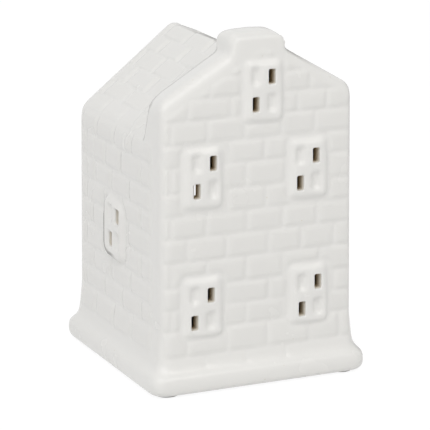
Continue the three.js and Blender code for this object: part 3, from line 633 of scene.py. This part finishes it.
# Bricks stop short of the gables and windows, and the side walls' lowest course is lost under the
# glaze. Raised pads melt into the wall, softly at the top and crisply at the foot. Thin dark lines of
# painted shade follow the rear joint of each side brick and the rear and lower edge of each side
# window.
skin = 2.2 * mm
lowest_brick = 5 * mm
gable_band_left = 5.4 * mm
gable_band_right = 2.6 * mm
rear_band = 5 * mm
side_melt = 1.7 * mm
side_relief = 1.1
side_joint_shade_share = 0.85
pad_clearance = 1.3 * mm
pad_shapes = {
    # on a side wall or not: reach to the front, tilt, corner, melt at the top and at the foot, share
    False: (0, 0, 3.2 * mm, 4.2 * mm, 2 * mm, 1),
    True: (2 * mm, 0.1, 5 * mm, 3.6 * mm, 1.1 * mm, 1.25),
}
blind_width = 5.2 * mm
blind_height = 7.8 * mm
blind_shift = 0.4 * mm
blind_melt = 2.2 * mm
side_line_depth = 1.6 * mm
side_line_reach = 0.9 * mm
side_line_core = 1.6
side_line_fade = 3 * mm
side_line_top = 0.42 * pad_height
side_line_front = 0.2 * pad_width
side_below_top = -0.25 * pad_height
side_below_front = -0.35 * pad_width
side_below_fade = 0.4 * pad_width
side_below_share = 0.9
for wall, (start, along, outward, windows) in walls.items():
    joints, first, last = brick_plans[wall]
    out = (place_x - start[0]) * outward[0] + (place_y - start[1]) * outward[1]
    turned_out = facing_x * outward[0] + facing_y * outward[1]
    chosen = (out > -skin) & (turned_out > rough_share) & (place_z > lowest_brick)
    run = ((place_x - start[0]) * along[0] + (place_y - start[1]) * along[1])[chosen]
    up = place_z[chosen]
    on_side = wall in ("left", "right")
    if on_side:
        lay_bricks(chosen, run, up, course_joints[1:], joints, first, last, melt=side_melt,
                   relief=side_relief, joint_shade_share=side_joint_shade_share)
    else:
        if wall == "facade":
            clip = (slab_peak - slab_slope * np.abs(run) - up) / math.hypot(1, slab_slope)
            clip = clip - np.where(run < 0, gable_band_left, gable_band_right)
        else:
            clip = (ridge_height - roof_rise * np.abs(run) - up) / math.hypot(1, roof_rise)
            clip = clip - rear_band
        lay_bricks(chosen, run, up, course_joints, joints, first, last, clip)
    reach, tilt, corner, soft, crisp, share = pad_shapes[on_side]
    for _, _, middle, height in windows:
        depth = inside_by(run, up - tilt * (run - middle),
                          middle - pad_width / 2 - reach, middle + pad_width / 2,
                          height - pad_height / 2, height + pad_height / 2, corner)
        to_foot = soft_step(0.5 + (run - middle) / pad_width - (up - height) / pad_height)
        melt = soft + (crisp - soft) * to_foot
        pads[chosen] = np.maximum(pads[chosen], soft_step(depth / melt) * share)
        off_pad = 1 - soft_step((depth + pad_clearance) / pad_clearance)
        bricks[chosen] *= off_pad
        painted_shade[chosen] *= off_pad
        # Painted shade: a thin dark line along the rear and lower edge of each side window's pad
        if on_side:
            behind = soft_step((height + side_line_top - up) / side_line_fade)
            behind = behind * (run > middle + side_line_front)
            below = soft_step((run - middle - side_below_front) / side_below_fade)
            below = below * (up < height + side_below_top) * side_below_share
            outline = side_line_core - np.abs(depth - side_line_depth) / side_line_reach
            line = soft_step(outline) * np.maximum(behind, below)
            painted_shade[chosen] = np.maximum(painted_shade[chosen], line)
    for middle, height in pane_middles(wall)[1]:
        depth = inside_by(run - middle, up - height - blind_shift, -blind_width / 2,
                          blind_width / 2, -blind_height / 2, blind_height / 2, brick_corner)
        blinds[chosen] = np.maximum(blinds[chosen], soft_step(depth / blind_melt))

# Where the glaze is thinned: on the brick faces, less so towards the facade's corners, where a
# painted highlight lightens them
corner_highlight_width = 6 * mm
brick_faces = np.clip(bricks, 0, 1)
past_corner_highlight = soft_step((half_width - np.abs(place_x)) / corner_highlight_width)
brick_faces *= np.where(facing_y < -rough_share, past_corner_highlight, 1)

# The roof's courses lie in the same bond and soften along the eaves
roof_melt = 1.9 * mm
roof_relief = 1
roof_lap = 0.9 * mm
roof_tip = 0.6
roof_facing = 0.8
roof_first = slab_depth + 1.5 * mm
roof_last = wall_depth - 2.2 * mm
eave_fade = 5 * mm
eave_share = 0.4
roof_angle = math.atan(roof_rise)
along_slope = math.cos(roof_angle)
off_slope = math.sin(roof_angle)
behind = place_y + half_depth
behind_slab = behind > slab_depth
for sign in (-1, 1):
    beyond = sign * place_x - half_width
    above = place_z - eave_height
    slope = above * off_slope - beyond * along_slope
    height_off = beyond * off_slope + above * along_slope
    turned_out = sign * facing_x * off_slope + facing_z * along_slope
    chosen = ((height_off > -skin) & (turned_out > roof_facing) & behind_slab
              & (sign * place_x > 0))
    lay_bricks(chosen, behind[chosen], slope[chosen], roof_courses, roof_joints,
               roof_first, roof_last, melt=roof_melt, relief=roof_relief, lap=roof_lap,
               tip=roof_tip)
from_eave = np.hypot(np.abs(place_x) - half_width, place_z - eave_height)
fade = eave_share + (1 - eave_share) * soft_step(from_eave / eave_fade)
bricks *= np.where(behind_slab, fade, 1)

# Painted shade: thin dark contours on the slab's rear edge over the roof and down its side, along the
# front of its right slope, and on the ridge
edge_line_inset = 1.8 * mm
edge_line_reach = 1.1 * mm
edge_line_core = 1.3
rear_line_inset = 1.44 * mm
rear_line_height = 3
rear_line_share = 0.45
side_edge_inset = 0.45 * mm
side_edge_share = 0.5
side_edge_rounding = 0.59 * slab_rear_corner
side_edge_lean = 0.39
right_line_fade = 4 * mm
right_line_share = 1
ridge_line_drop = 0.7 * mm
ridge_line_thinning = 0.8
ridge_line_share = 0.65
slab_rear_eave = slab_eave - slab_rear_drop
across = np.minimum(np.abs(place_x), half_width)
slope_top = slab_eave + slab_slope * (half_width - across)
slope_top = slope_top - slab_rear_drop * across / half_width
slope_top = slope_top + np.where(place_x > 0, slab_right_rise, 0)
rear_line = slab_depth + np.interp(
    across, (chimney_right, slab_turn, half_width), (0, slab_belly, -slab_corner_draft))
from_rear_line = np.hypot(behind - rear_line + rear_line_inset,
                          (place_z - slope_top) / rear_line_height)
side_edge = slab_depth - slab_corner_draft - side_edge_rounding
side_edge = side_edge + side_edge_lean * (slab_rear_eave - place_z)
beyond = np.maximum(eave_height - place_z, place_z - slab_rear_eave)
from_side_edge = np.hypot(behind - side_edge + side_edge_inset, np.maximum(beyond, 0))
at_side = np.abs(place_x) > half_width - corner_radius
from_right_line = np.hypot(behind - edge_line_inset, place_z - slope_top)
right_slope = (place_x > 0) * soft_step((half_width - place_x) / right_line_fade)
from_ridge = np.hypot(place_x, place_z - ridge_height + ridge_line_drop)
thinning = ridge_line_thinning * np.clip(place_y / half_depth, 0, 1)
from_ridge = from_ridge + edge_line_reach * thinning
clear_of_chimney = np.abs(place_x - chimney_middle) > chimney_right - chimney_middle
not_rear = facing_y < rough_share
for from_line, where_seen, line_share in (
    (from_rear_line, clear_of_chimney, rear_line_share),
    (from_side_edge, at_side, side_edge_share),
    (from_right_line, clear_of_chimney * right_slope, right_line_share),
    (from_ridge, behind_slab, ridge_line_share),
):
    line = soft_step(edge_line_core - from_line / edge_line_reach) * line_share
    painted_shade = np.maximum(painted_shade, line * where_seen * not_rear)

# The mould's relief is pushed out or in, and two attributes tell the glaze where it is thin over the
# bricks and where lines of painted shade fall
brick_relief = 0.6 * mm
blind_relief = -1.6 * mm
roof_shade_share = 0.5
highest_share = 2.5
least_share = 0.001
# Every brick takes at least half the brick tone: painted shade that darkens the roof's bricks
faces = np.maximum(brick_faces, roof_shade_share * np.clip(bricks, 0, 1))
for name, values in (("bare_line", painted_shade), ("brick_face", faces)):
    attribute = mesh.attributes.new(name, "FLOAT", "POINT")
    attribute.data.foreach_set("value", values)
for name, amounts, strength in (
    ("bricks", bricks, brick_relief),
    ("pads", pads, pad_relief),
    ("blind_panes", blinds, blind_relief),
):
    group = house.vertex_groups.new(name=name)
    for at in np.nonzero(amounts > least_share)[0]:
        group.add([int(at)], float(amounts[at] / highest_share), "REPLACE")
    finish_with(house, "DISPLACE", direction="NORMAL", vertex_group=name, mid_level=0,
                strength=highest_share * strength)
finish_with(house, "SMOOTH", factor=0.5, iterations=2)

# White tin glaze, a shade thinner and duller over the brick faces, with a faint orange peel, a few
# pinholes and soft drifts of tone; grey lines of painted shade along edges, joints and side windows
glaze_white = (0.846, 0.842, 0.824, 1)
brick_white = (0.828, 0.823, 0.804, 1)
drift_white = (0.82, 0.815, 0.785, 1)
drift_scale = 28
drift_share = 0.12
drift_span = (0.25, 0.75)
glaze_gloss = 0.23
glaze_dull = 0.28
gloss_scale = 56
gloss_span = (0.3, 0.7)
peel_scale = 120
peel_depth = 0.006 * mm
speck_scale = 150
speck_size = 0.022
speck_blur = 1.8
speck_tan = (0.72, 0.68, 0.6, 1)
painted_shade_grey = (0.25, 0.24, 0.225, 1)


def new_material(name):
    made = bpy.data.materials.new(name)
    made.use_nodes = True
    return made, made.node_tree.nodes, made.node_tree.links, made.node_tree.nodes["Principled BSDF"]


def noise(nodes, links, where, scale, detail=3, roughness=0.5):
    made = nodes.new("ShaderNodeTexNoise")
    names = ("Vector", "Scale", "Detail", "Roughness")
    for name, given in zip(names, (where, scale, detail, roughness)):
        feed(links, made.inputs[name], given)
    return made.outputs["Fac"]


def blend_colours(nodes, links, share, first, second):
    made = nodes.new("ShaderNodeMix")
    made.data_type = "RGBA"
    for name, given in (("Factor", share), ("A", first), ("B", second)):
        feed(links, made.inputs[name], given)
    return made.outputs["Result"]


def bump(nodes, links, height, depth):
    made = nodes.new("ShaderNodeBump")
    made.inputs["Distance"].default_value = depth
    links.new(height, made.inputs["Height"])
    return made.outputs["Normal"]


def place_of(nodes):
    return nodes.new("ShaderNodeTexCoord").outputs["Object"]


def attribute_of(nodes, name):
    made = nodes.new("ShaderNodeAttribute")
    made.attribute_name = name
    return made.outputs["Fac"]


glaze, nodes, links, surface = new_material("white_glaze")
where = place_of(nodes)
drift = between(nodes, links, noise(nodes, links, where, drift_scale), *drift_span, 0, drift_share)
specks = nodes.new("ShaderNodeTexVoronoi")
specks.inputs["Scale"].default_value = speck_scale
links.new(where, specks.inputs["Vector"])
speck = between(nodes, links, specks.outputs["Distance"], speck_size, speck_size * speck_blur, 1, 0)
colour = glaze_white
for share, over in (
    (attribute_of(nodes, "brick_face"), brick_white),
    (drift, drift_white),
    (attribute_of(nodes, "bare_line"), painted_shade_grey),
    (speck, speck_tan),
):
    colour = blend_colours(nodes, links, share, colour, over)
links.new(colour, surface.inputs["Base Color"])
gloss = between(nodes, links, noise(nodes, links, where, gloss_scale), *gloss_span,
                glaze_gloss, glaze_dull)
links.new(gloss, surface.inputs["Roughness"])
peel = noise(nodes, links, where, peel_scale, detail=2)
links.new(bump(nodes, links, peel, peel_depth), surface.inputs["Normal"])

# Unglazed biscuit is dull and sandy: pale under the foot, and inside the cavity darkened to brown by
# painted shade
biscuit_tan = (0.72, 0.64, 0.51, 1)
biscuit_pale = (0.8, 0.73, 0.61, 1)
shaded_inside_brown = (0.3, 0.21, 0.12, 1)
shaded_inside_tan = (0.39, 0.29, 0.18, 1)
biscuit_scale = 160
biscuit_span = (0.35, 0.65)
biscuit_grain_scale = 1400
biscuit_grain_depth = 0.05 * mm
biscuit_rough = 0.85


def grit_group():
    """The fine sandy grain of unglazed earthenware."""
    group = bpy.data.node_groups.new("biscuit_grit", "ShaderNodeTree")
    group.interface.new_socket(name="Height", in_out="OUTPUT", socket_type="NodeSocketFloat")
    grit = noise(group.nodes, group.links, place_of(group.nodes), biscuit_grain_scale,
                 detail=4, roughness=0.7)
    group.links.new(grit, group.nodes.new("NodeGroupOutput").inputs["Height"])
    return group


biscuit_grit = grit_group()


def biscuit(name, share_of, first, second):
    """An unglazed material that blends two colours by the share that the rule gives."""
    made, nodes, links, surface = new_material(name)
    colour = blend_colours(nodes, links, share_of(nodes, links), first, second)
    links.new(colour, surface.inputs["Base Color"])
    surface.inputs["Roughness"].default_value = biscuit_rough
    grit = nodes.new("ShaderNodeGroup")
    grit.node_tree = biscuit_grit
    links.new(bump(nodes, links, grit.outputs["Height"], biscuit_grain_depth),
              surface.inputs["Normal"])
    return made


def patches(nodes, links):
    return between(nodes, links, noise(nodes, links, place_of(nodes), biscuit_scale), *biscuit_span)


biscuit_foot = biscuit("bare_biscuit", patches, biscuit_tan, biscuit_pale)
shaded_biscuit_inside = biscuit("shaded_biscuit_inside", patches, shaded_inside_brown, shaded_inside_tan)

# Through each pane the glaze thins out to bare biscuit, darkened to brown by painted shade with the
# depth in the wall
reveal_pale = (0.84, 0.8, 0.72, 1)
reveal_shade_brown = (0.42, 0.31, 0.17, 1)
reveal_start = -0.2 * mm
reveal_end = 2.8 * mm


def depth_in_wall(nodes, links):
    parts = nodes.new("ShaderNodeSeparateXYZ")
    links.new(place_of(nodes), parts.inputs[0])
    depths = []
    for axis, half in (("X", half_width), ("Y", half_depth)):
        away = calculate(nodes, links, "ABSOLUTE", parts.outputs[axis])
        depths.append(calculate(nodes, links, "SUBTRACT", half, away))
    least = calculate(nodes, links, "MINIMUM", *depths)
    return between(nodes, links, least, reveal_start, reveal_end)


reveal = biscuit("pane_reveal", depth_in_wall, reveal_pale, reveal_shade_brown)

# Hollow inside, drawn in from the outside by the wall's thickness
floor_top = 7.2 * mm
inner_corner = 3 * mm
gable_hollow_foot = 76.5 * mm
inner_width = half_width - wall_thickness
inner_depth = half_depth - wall_thickness
inner_ridge = ridge_height - wall_thickness * math.hypot(1, roof_rise)
inner_eave = inner_ridge - inner_width * roof_rise
gable_peak = slab_peak - wall_thickness * math.hypot(1, slab_slope)
gable_rise = slab_slope * inner_width

cavity = gabled_block("cavity", (-inner_width, -inner_depth, floor_top),
                      (inner_width, inner_depth, inner_eave), inner_ridge)


def cavity_radius(one, other):
    """The ridge and the gable edges to the right of it stay sharp inside."""
    at_ridge = near(one.z, inner_ridge) or near(other.z, inner_ridge)
    return 0 if at_ridge and one.x + other.x > -touching else inner_corner


round_edges(cavity, cavity_radius)
gable_hollow = block("gable_hollow", (-inner_width, -inner_depth, gable_hollow_foot),
                     (inner_width, slab_rear - wall_thickness, gable_peak - gable_rise))
split_across(gable_hollow, (0,))
shift(gable_hollow, (0, 0, gable_rise),
      lambda place: near(place.x, 0) and place.z > eave_height)


def drum(name, radius, low, high, place=(0, 0), sides=64):
    bpy.ops.object.select_all(action="DESELECT")
    bpy.ops.mesh.primitive_cylinder_add(radius=radius, depth=high - low, vertices=sides,
                                        location=(place[0], place[1], (low + high) / 2))
    return settle(name)


# Under the foot: the light unit's opening in a shallow recess, and a pocket for each felt pad
foot_pocket_x = 35.44 * mm
foot_pocket_y = 37.24 * mm
foot_pocket_radius = 4.9 * mm
foot_pocket_depth = 0.7 * mm
floor_recess_radius = 29 * mm
floor_recess_depth = 3.2 * mm
floor_opening_radius = 23 * mm
cutters = [
    (cavity, shaded_biscuit_inside),
    (gable_hollow, shaded_biscuit_inside),
    (drum("floor_recess", floor_recess_radius, -margin, floor_recess_depth), biscuit_foot),
    (drum("floor_opening", floor_opening_radius, -margin, floor_top + margin), biscuit_foot),
]
for x in (-foot_pocket_x, foot_pocket_x):
    for y in (-foot_pocket_y, foot_pocket_y):
        pocket = drum("foot_pocket", foot_pocket_radius, -margin, foot_pocket_depth, (x, y), 32)
        cutters.append((pocket, biscuit_foot))

# Each open pane is cut straight through, and glaze rounds its rim
pane_corner = 0.6 * mm
pane_overshoot = 1.5 * mm
rim_slack = 0.02 * mm
rim = in_mm((
    # how far under the pad's face, and how much wider than the pane
    (0.6, 0), (0.3, 0.1), (0.1, 0.3), (0, 0.7), (-1, 2.8),
))
pane = block("open_pane", (-pane_width / 2, -pad_relief + rim[0][0], -pane_height / 2),
             (pane_width / 2, wall_thickness + pane_overshoot, pane_height / 2))
round_edges(pane, lambda one, other: 0 if near(one.y, other.y) else pane_corner, segments=3)
for (deep, wide), (next_deep, next_wide) in zip(rim, rim[1:]):
    front = -pad_relief + deep
    pick(pane, "FACE", lambda middle, normal: normal.y < -straight_share and near(middle.y, front))
    bpy.ops.mesh.extrude_region_move(TRANSFORM_OT_translate={"value": (0, next_deep - deep, 0)})
    grow = ((pane_width + next_wide) / (pane_width + wide), 1,
            (pane_height + next_wide) / (pane_height + wide))
    bpy.ops.transform.resize(value=grow, center_override=(0, -pad_relief + next_deep, 0))
    close()
rim_start = -pad_relief + rim[0][0] - rim_slack
for material in (reveal, glaze):
    pane.data.materials.append(material)
for face in pane.data.polygons:
    face.material_index = 1 if face.center.y < rim_start else 0
for wall, (start, along, outward, windows) in walls.items():
    for middle, height in pane_middles(wall)[0]:
        copy = pane.copy()
        copy.data = pane.data.copy()
        if wall in ("left", "right"):
            copy.data.transform(Matrix.Scale(side_pane_width / pane_width, 4, (1, 0, 0)))
        bpy.context.collection.objects.link(copy)
        place_at = (start[0] + along[0] * middle, start[1] + along[1] * middle, height)
        turn = math.atan2(outward[0], -outward[1])
        copy.data.transform(Matrix.Translation(place_at) @ Matrix.Rotation(turn, 4, "Z"))
        cutters.append((copy, None))
bpy.data.objects.remove(pane)

house.data.materials.clear()
house.data.materials.append(glaze)
for cutter, material in cutters:
    if material:
        cutter.data.materials.append(material)
    finish_with(house, "BOOLEAN", operation="DIFFERENCE", solver="MANIFOLD", object=cutter,
                material_mode="TRANSFER")
    bpy.data.objects.remove(cutter)

# The walls lean in towards the top, as a casting must to leave its mould
draft_height = 50 * mm
draft = 0.008
foot_lift = 0.8 * mm
crease_angle = 50
bpy.ops.object.select_all(action="DESELECT")
bpy.ops.object.empty_add(location=(0, 0, draft_height))
draft_origin = bpy.context.object
heights = [corner[2] for corner in house.bound_box]
finish_with(house, "SIMPLE_DEFORM", deform_method="TAPER", deform_axis="Z", origin=draft_origin,
            factor=-draft / half_width * (max(heights) - min(heights)))
bpy.data.objects.remove(draft_origin)
house.location = (0, 0, foot_lift)
take(house)
bpy.ops.object.transform_apply(location=True, rotation=True, scale=True)
bpy.ops.object.shade_smooth_by_angle(angle=math.radians(crease_angle))

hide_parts("house_shell")
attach(house, "house")

# Felt foot pads
# Four discs punched from pressed grey wool felt and glued into shallow pockets under the plinth,
# so that the glazed foot ring never scratches a shelf.
mottle_span = (0.3, 0.7)


def grain_group():
    """A mottled surface with a fine grain, for anything pressed, moulded, rolled or plated."""
    group = bpy.data.node_groups.new("mottled_grain", "ShaderNodeTree")
    for way, kind, names in (
        ("INPUT", "NodeSocketColor", ("Dark", "Pale")),
        ("INPUT", "NodeSocketFloat", ("Mottle Scale", "Grain Scale", "Smoothest", "Roughest")),
        ("INPUT", "NodeSocketVector", ("Stretch",)),
        ("OUTPUT", "NodeSocketColor", ("Colour",)),
        ("OUTPUT", "NodeSocketFloat", ("Roughness", "Height")),
    ):
        for name in names:
            group.interface.new_socket(name=name, in_out=way, socket_type=kind)
    nodes = group.nodes
    links = group.links
    given = nodes.new("NodeGroupInput").outputs
    result = nodes.new("NodeGroupOutput").inputs
    stretched = nodes.new("ShaderNodeVectorMath")
    stretched.operation = "MULTIPLY"
    links.new(place_of(nodes), stretched.inputs[0])
    links.new(given["Stretch"], stretched.inputs[1])
    mottle = noise(nodes, links, stretched.outputs[0], given["Mottle Scale"])
    mottle = between(nodes, links, mottle, *mottle_span)
    links.new(blend_colours(nodes, links, mottle, given["Dark"], given["Pale"]), result["Colour"])
    grain = noise(nodes, links, stretched.outputs[0], given["Grain Scale"], detail=4)
    links.new(between(nodes, links, grain, *mottle_span, given["Smoothest"], given["Roughest"]),
              result["Roughness"])
    links.new(grain, result["Height"])
    return group


mottled_grain = grain_group()


def grained(name, dark, pale, mottle_scale, grain_scale, grain_depth, smoothest, roughest,
            stretch=(1, 1, 1), **constants):
    """A material of mottled grain; the constants are set on the shader's own sockets."""
    made, nodes, links, surface = new_material(name)
    grain = nodes.new("ShaderNodeGroup")
    grain.node_tree = mottled_grain
    for socket, value in (
        ("Dark", dark), ("Pale", pale), ("Mottle Scale", mottle_scale),
        ("Grain Scale", grain_scale), ("Smoothest", smoothest), ("Roughest", roughest),
        ("Stretch", stretch),
    ):
        grain.inputs[socket].default_value = value
    links.new(grain.outputs["Colour"], surface.inputs["Base Color"])
    links.new(grain.outputs["Roughness"], surface.inputs["Roughness"])
    links.new(bump(nodes, links, grain.outputs["Height"], grain_depth), surface.inputs["Normal"])
    for socket, value in constants.items():
        surface.inputs[socket.replace("_", " ")].default_value = value
    return made


def dress(material, *names):
    """Gives solids that keep their own shape a finished surface."""
    for name in names:
        for slot in bpy.data.objects[name].material_slots:
            slot.material = material


felt = grained(
    "pressed_wool_felt", dark=(0.5, 0.49, 0.46, 1), pale=(0.66, 0.65, 0.61, 1),
    mottle_scale=700, grain_scale=5200, grain_depth=0.12 * mm, smoothest=0.85, roughest=1,
    Sheen_Weight=0.35)
dress(felt, "foot_pad_front_left", "foot_pad_front_right", "foot_pad_rear_left",
      "foot_pad_rear_right")

# Light unit plate, housing, cell tray and door
# Injection-moulded white plastic with a spark-eroded satin face. The tray and the drum-shaped
# housing are screwed to the plate, and the door closes the cells from below.
white_plastic = grained(
    "moulded_white_plastic", dark=(0.83, 0.83, 0.8, 1), pale=(0.88, 0.88, 0.855, 1),
    mottle_scale=60, grain_scale=1500, grain_depth=0.06 * mm, smoothest=0.32, roughest=0.5)
dress(white_plastic, "light_base_plate", "light_housing", "battery_tray", "battery_door")

# Grip ring
# A soft ring of milky silicone stretched round the housing. Its lips hold the unit in the floor
# opening by friction.
silicone = grained(
    "milky_silicone", dark=(0.74, 0.74, 0.71, 1), pale=(0.8, 0.8, 0.77, 1),
    mottle_scale=130, grain_scale=1600, grain_depth=0.015 * mm, smoothest=0.42, roughest=0.58,
    Subsurface_Weight=0.25, Subsurface_Scale=1 * mm)
dress(silicone, "grip_ring")

# Switch
# A small slide switch of black plastic. Its knob reaches through the plate and moves two
# millimetres between off and on.
black_plastic = grained(
    "moulded_black_plastic", dark=(0.02, 0.02, 0.022, 1), pale=(0.035, 0.035, 0.038, 1),
    mottle_scale=400, grain_scale=1500, grain_depth=0.02 * mm, smoothest=0.38, roughest=0.55)
dress(black_plastic, "switch_body", "switch_slider")

# Contacts
# One flat and one bowed strip of spring steel, rolled, blanked and nickel plated. The bowed one
# presses on the row of cells.
nickel = grained(
    "rolled_nickel", dark=(0.5, 0.48, 0.44, 1), pale=(0.66, 0.64, 0.6, 1),
    mottle_scale=500, grain_scale=6000, grain_depth=0.008 * mm, smoothest=0.22, roughest=0.36,
    stretch=(1, 1, 0.05), Metallic=1)
dress(nickel, "flat_contact", "bowed_contact")

# Button cells
# Three deep-drawn steel cans, brighter plated than the contacts, with fine scratches from
# handling.
can_steel = grained(
    "bright_steel_can", dark=(0.6, 0.6, 0.58, 1), pale=(0.76, 0.76, 0.74, 1),
    mottle_scale=260, grain_scale=4200, grain_depth=0.006 * mm, smoothest=0.16, roughest=0.3,
    stretch=(0.1, 1, 1), Metallic=1)
dress(can_steel, "button_cell_1", "button_cell_2", "button_cell_3")

# Screws
# Pan-head self-tapping screws of zinc-plated steel. Two long ones hold the housing to the plate
# and two short ones the door.
zinc = grained(
    "zinc_plate", dark=(0.42, 0.42, 0.43, 1), pale=(0.6, 0.6, 0.6, 1),
    mottle_scale=900, grain_scale=5200, grain_depth=0.01 * mm, smoothest=0.28, roughest=0.44,
    Metallic=1)
dress(zinc, "door_screw_left", "door_screw_right", "housing_screw_left", "housing_screw_right")

# Leads
# Stranded copper wire in PVC insulation: red from the cells through the switch, black back to
# the cells. Both end at the lamp board.
for name, deep, bright, leads in (
    ("red_insulation_pvc", (0.36, 0.02, 0.015, 1), (0.5, 0.035, 0.025, 1),
     ("red_lead", "switch_lead")),
    ("black_insulation_pvc", (0.012, 0.012, 0.012, 1), (0.03, 0.03, 0.03, 1), ("black_lead",)),
):
    insulation = grained(
        name, dark=deep, pale=bright, mottle_scale=800, grain_scale=3000,
        grain_depth=0.01 * mm, smoothest=0.3, roughest=0.45)
    dress(insulation, *leads)

# Lamp board
# A disc of glass-fibre board under green solder mask, with the copper tracks showing through as
# paler lines.
mask_green = (0.012, 0.1, 0.035, 1)
track_green = (0.03, 0.2, 0.08, 1)
track_scale = 210
track_half = 0.06
track_blur = 1.3
board = grained(
    "green_solder_mask", dark=mask_green, pale=mask_green, mottle_scale=210, grain_scale=1800,
    grain_depth=0.012 * mm, smoothest=0.25, roughest=0.4)
nodes = board.node_tree.nodes
links = board.node_tree.links
tracks = nodes.new("ShaderNodeTexVoronoi")
tracks.feature = "DISTANCE_TO_EDGE"
tracks.inputs["Scale"].default_value = track_scale
links.new(place_of(nodes), tracks.inputs["Vector"])
on_track = between(nodes, links, tracks.outputs["Distance"], track_half, track_half * track_blur,
                   1, 0)
links.new(blend_colours(nodes, links, on_track, mask_green, track_green),
          nodes["Principled BSDF"].inputs["Base Color"])
dress(board, "lamp_board")

# Lamp
# A five millimetre light-emitting diode cast in clear epoxy with a warm yellow tint from the
# phosphor inside.
epoxy = grained(
    "clear_epoxy", dark=(0.95, 0.9, 0.7, 1), pale=(0.98, 0.96, 0.86, 1),
    mottle_scale=420, grain_scale=900, grain_depth=0.004 * mm, smoothest=0.04, roughest=0.09,
    Transmission_Weight=1, IOR=1.54)
dress(epoxy, "led_lamp")

# Resistor
# A small carbon-film resistor under tan lacquer, with four painted rings for its value.
lacquer_tan = (0.6, 0.45, 0.24, 1)
lacquer_rough = 0.35
lacquer_grain_scale = 2500
lacquer_grain_depth = 0.01 * mm
resistor_half = 2.9 * mm
ring_width = 0.05
ring_plan = (
    # where each ring starts along the body, and its colour
    (0.3, (0.18, 0.05, 0.02, 1)),
    (0.42, (0.02, 0.02, 0.02, 1)),
    (0.54, (0.4, 0.02, 0.02, 1)),
    (0.7, (0.5, 0.35, 0.08, 1)),
)
lacquer, nodes, links, surface = new_material("banded_lacquer")
where = place_of(nodes)
parts = nodes.new("ShaderNodeSeparateXYZ")
links.new(where, parts.inputs[0])
along_body = between(nodes, links, parts.outputs["X"], -resistor_half, resistor_half)
rings = nodes.new("ShaderNodeValToRGB")
stops = rings.color_ramp.elements
rings.color_ramp.interpolation = "CONSTANT"
stops[0].color = lacquer_tan
stops.remove(stops[1])
for at, ring_colour in ring_plan:
    stops.new(at).color = ring_colour
    stops.new(at + ring_width).color = lacquer_tan
links.new(along_body, rings.inputs["Fac"])
links.new(rings.outputs["Color"], surface.inputs["Base Color"])
surface.inputs["Roughness"].default_value = lacquer_rough
dimples = noise(nodes, links, where, lacquer_grain_scale)
links.new(bump(nodes, links, dimples, lacquer_grain_depth), surface.inputs["Normal"])
dress(lacquer, "lamp_resistor")

# Diffuser
# A thin vacuum-formed dome of frosted plastic that spreads the lamp's light through the windows.
# It stands on a short straight skirt over the housing's collar.
dome_radius = 9 * mm
dome_wall = 1.2 * mm
dome_low = 26.3 * mm
dome_skirt = 5 * mm
dome_rim = dome_low + dome_skirt
bpy.ops.object.select_all(action="DESELECT")
bpy.ops.mesh.primitive_uv_sphere_add(radius=dome_radius, segments=64, ring_count=32,
                                     location=(0, 0, dome_rim))
dome = settle("frosted_diffuser_dome")
pick(dome, "FACE", lambda middle, normal: middle.z < dome_rim)
bpy.ops.mesh.delete(type="FACE")
close()
pick(dome, "EDGE", lambda one, other: near(one.z, dome_rim) and near(other.z, dome_rim))
bpy.ops.mesh.extrude_region_move(TRANSFORM_OT_translate={"value": (0, 0, -dome_skirt)})
close()
finish_with(dome, "SOLIDIFY", thickness=dome_wall, offset=-1)
bpy.ops.object.shade_smooth_by_angle(angle=math.radians(crease_angle))
frosted = grained(
    "frosted_dome", dark=(0.84, 0.83, 0.8, 1), pale=(0.9, 0.89, 0.86, 1),
    mottle_scale=150, grain_scale=3200, grain_depth=0.03 * mm, smoothest=0.5, roughest=0.68,
    Subsurface_Weight=0.4, Subsurface_Scale=1.5 * mm)
dome.data.materials.append(frosted)
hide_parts("diffuser_dome")
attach(dome, "light_unit")
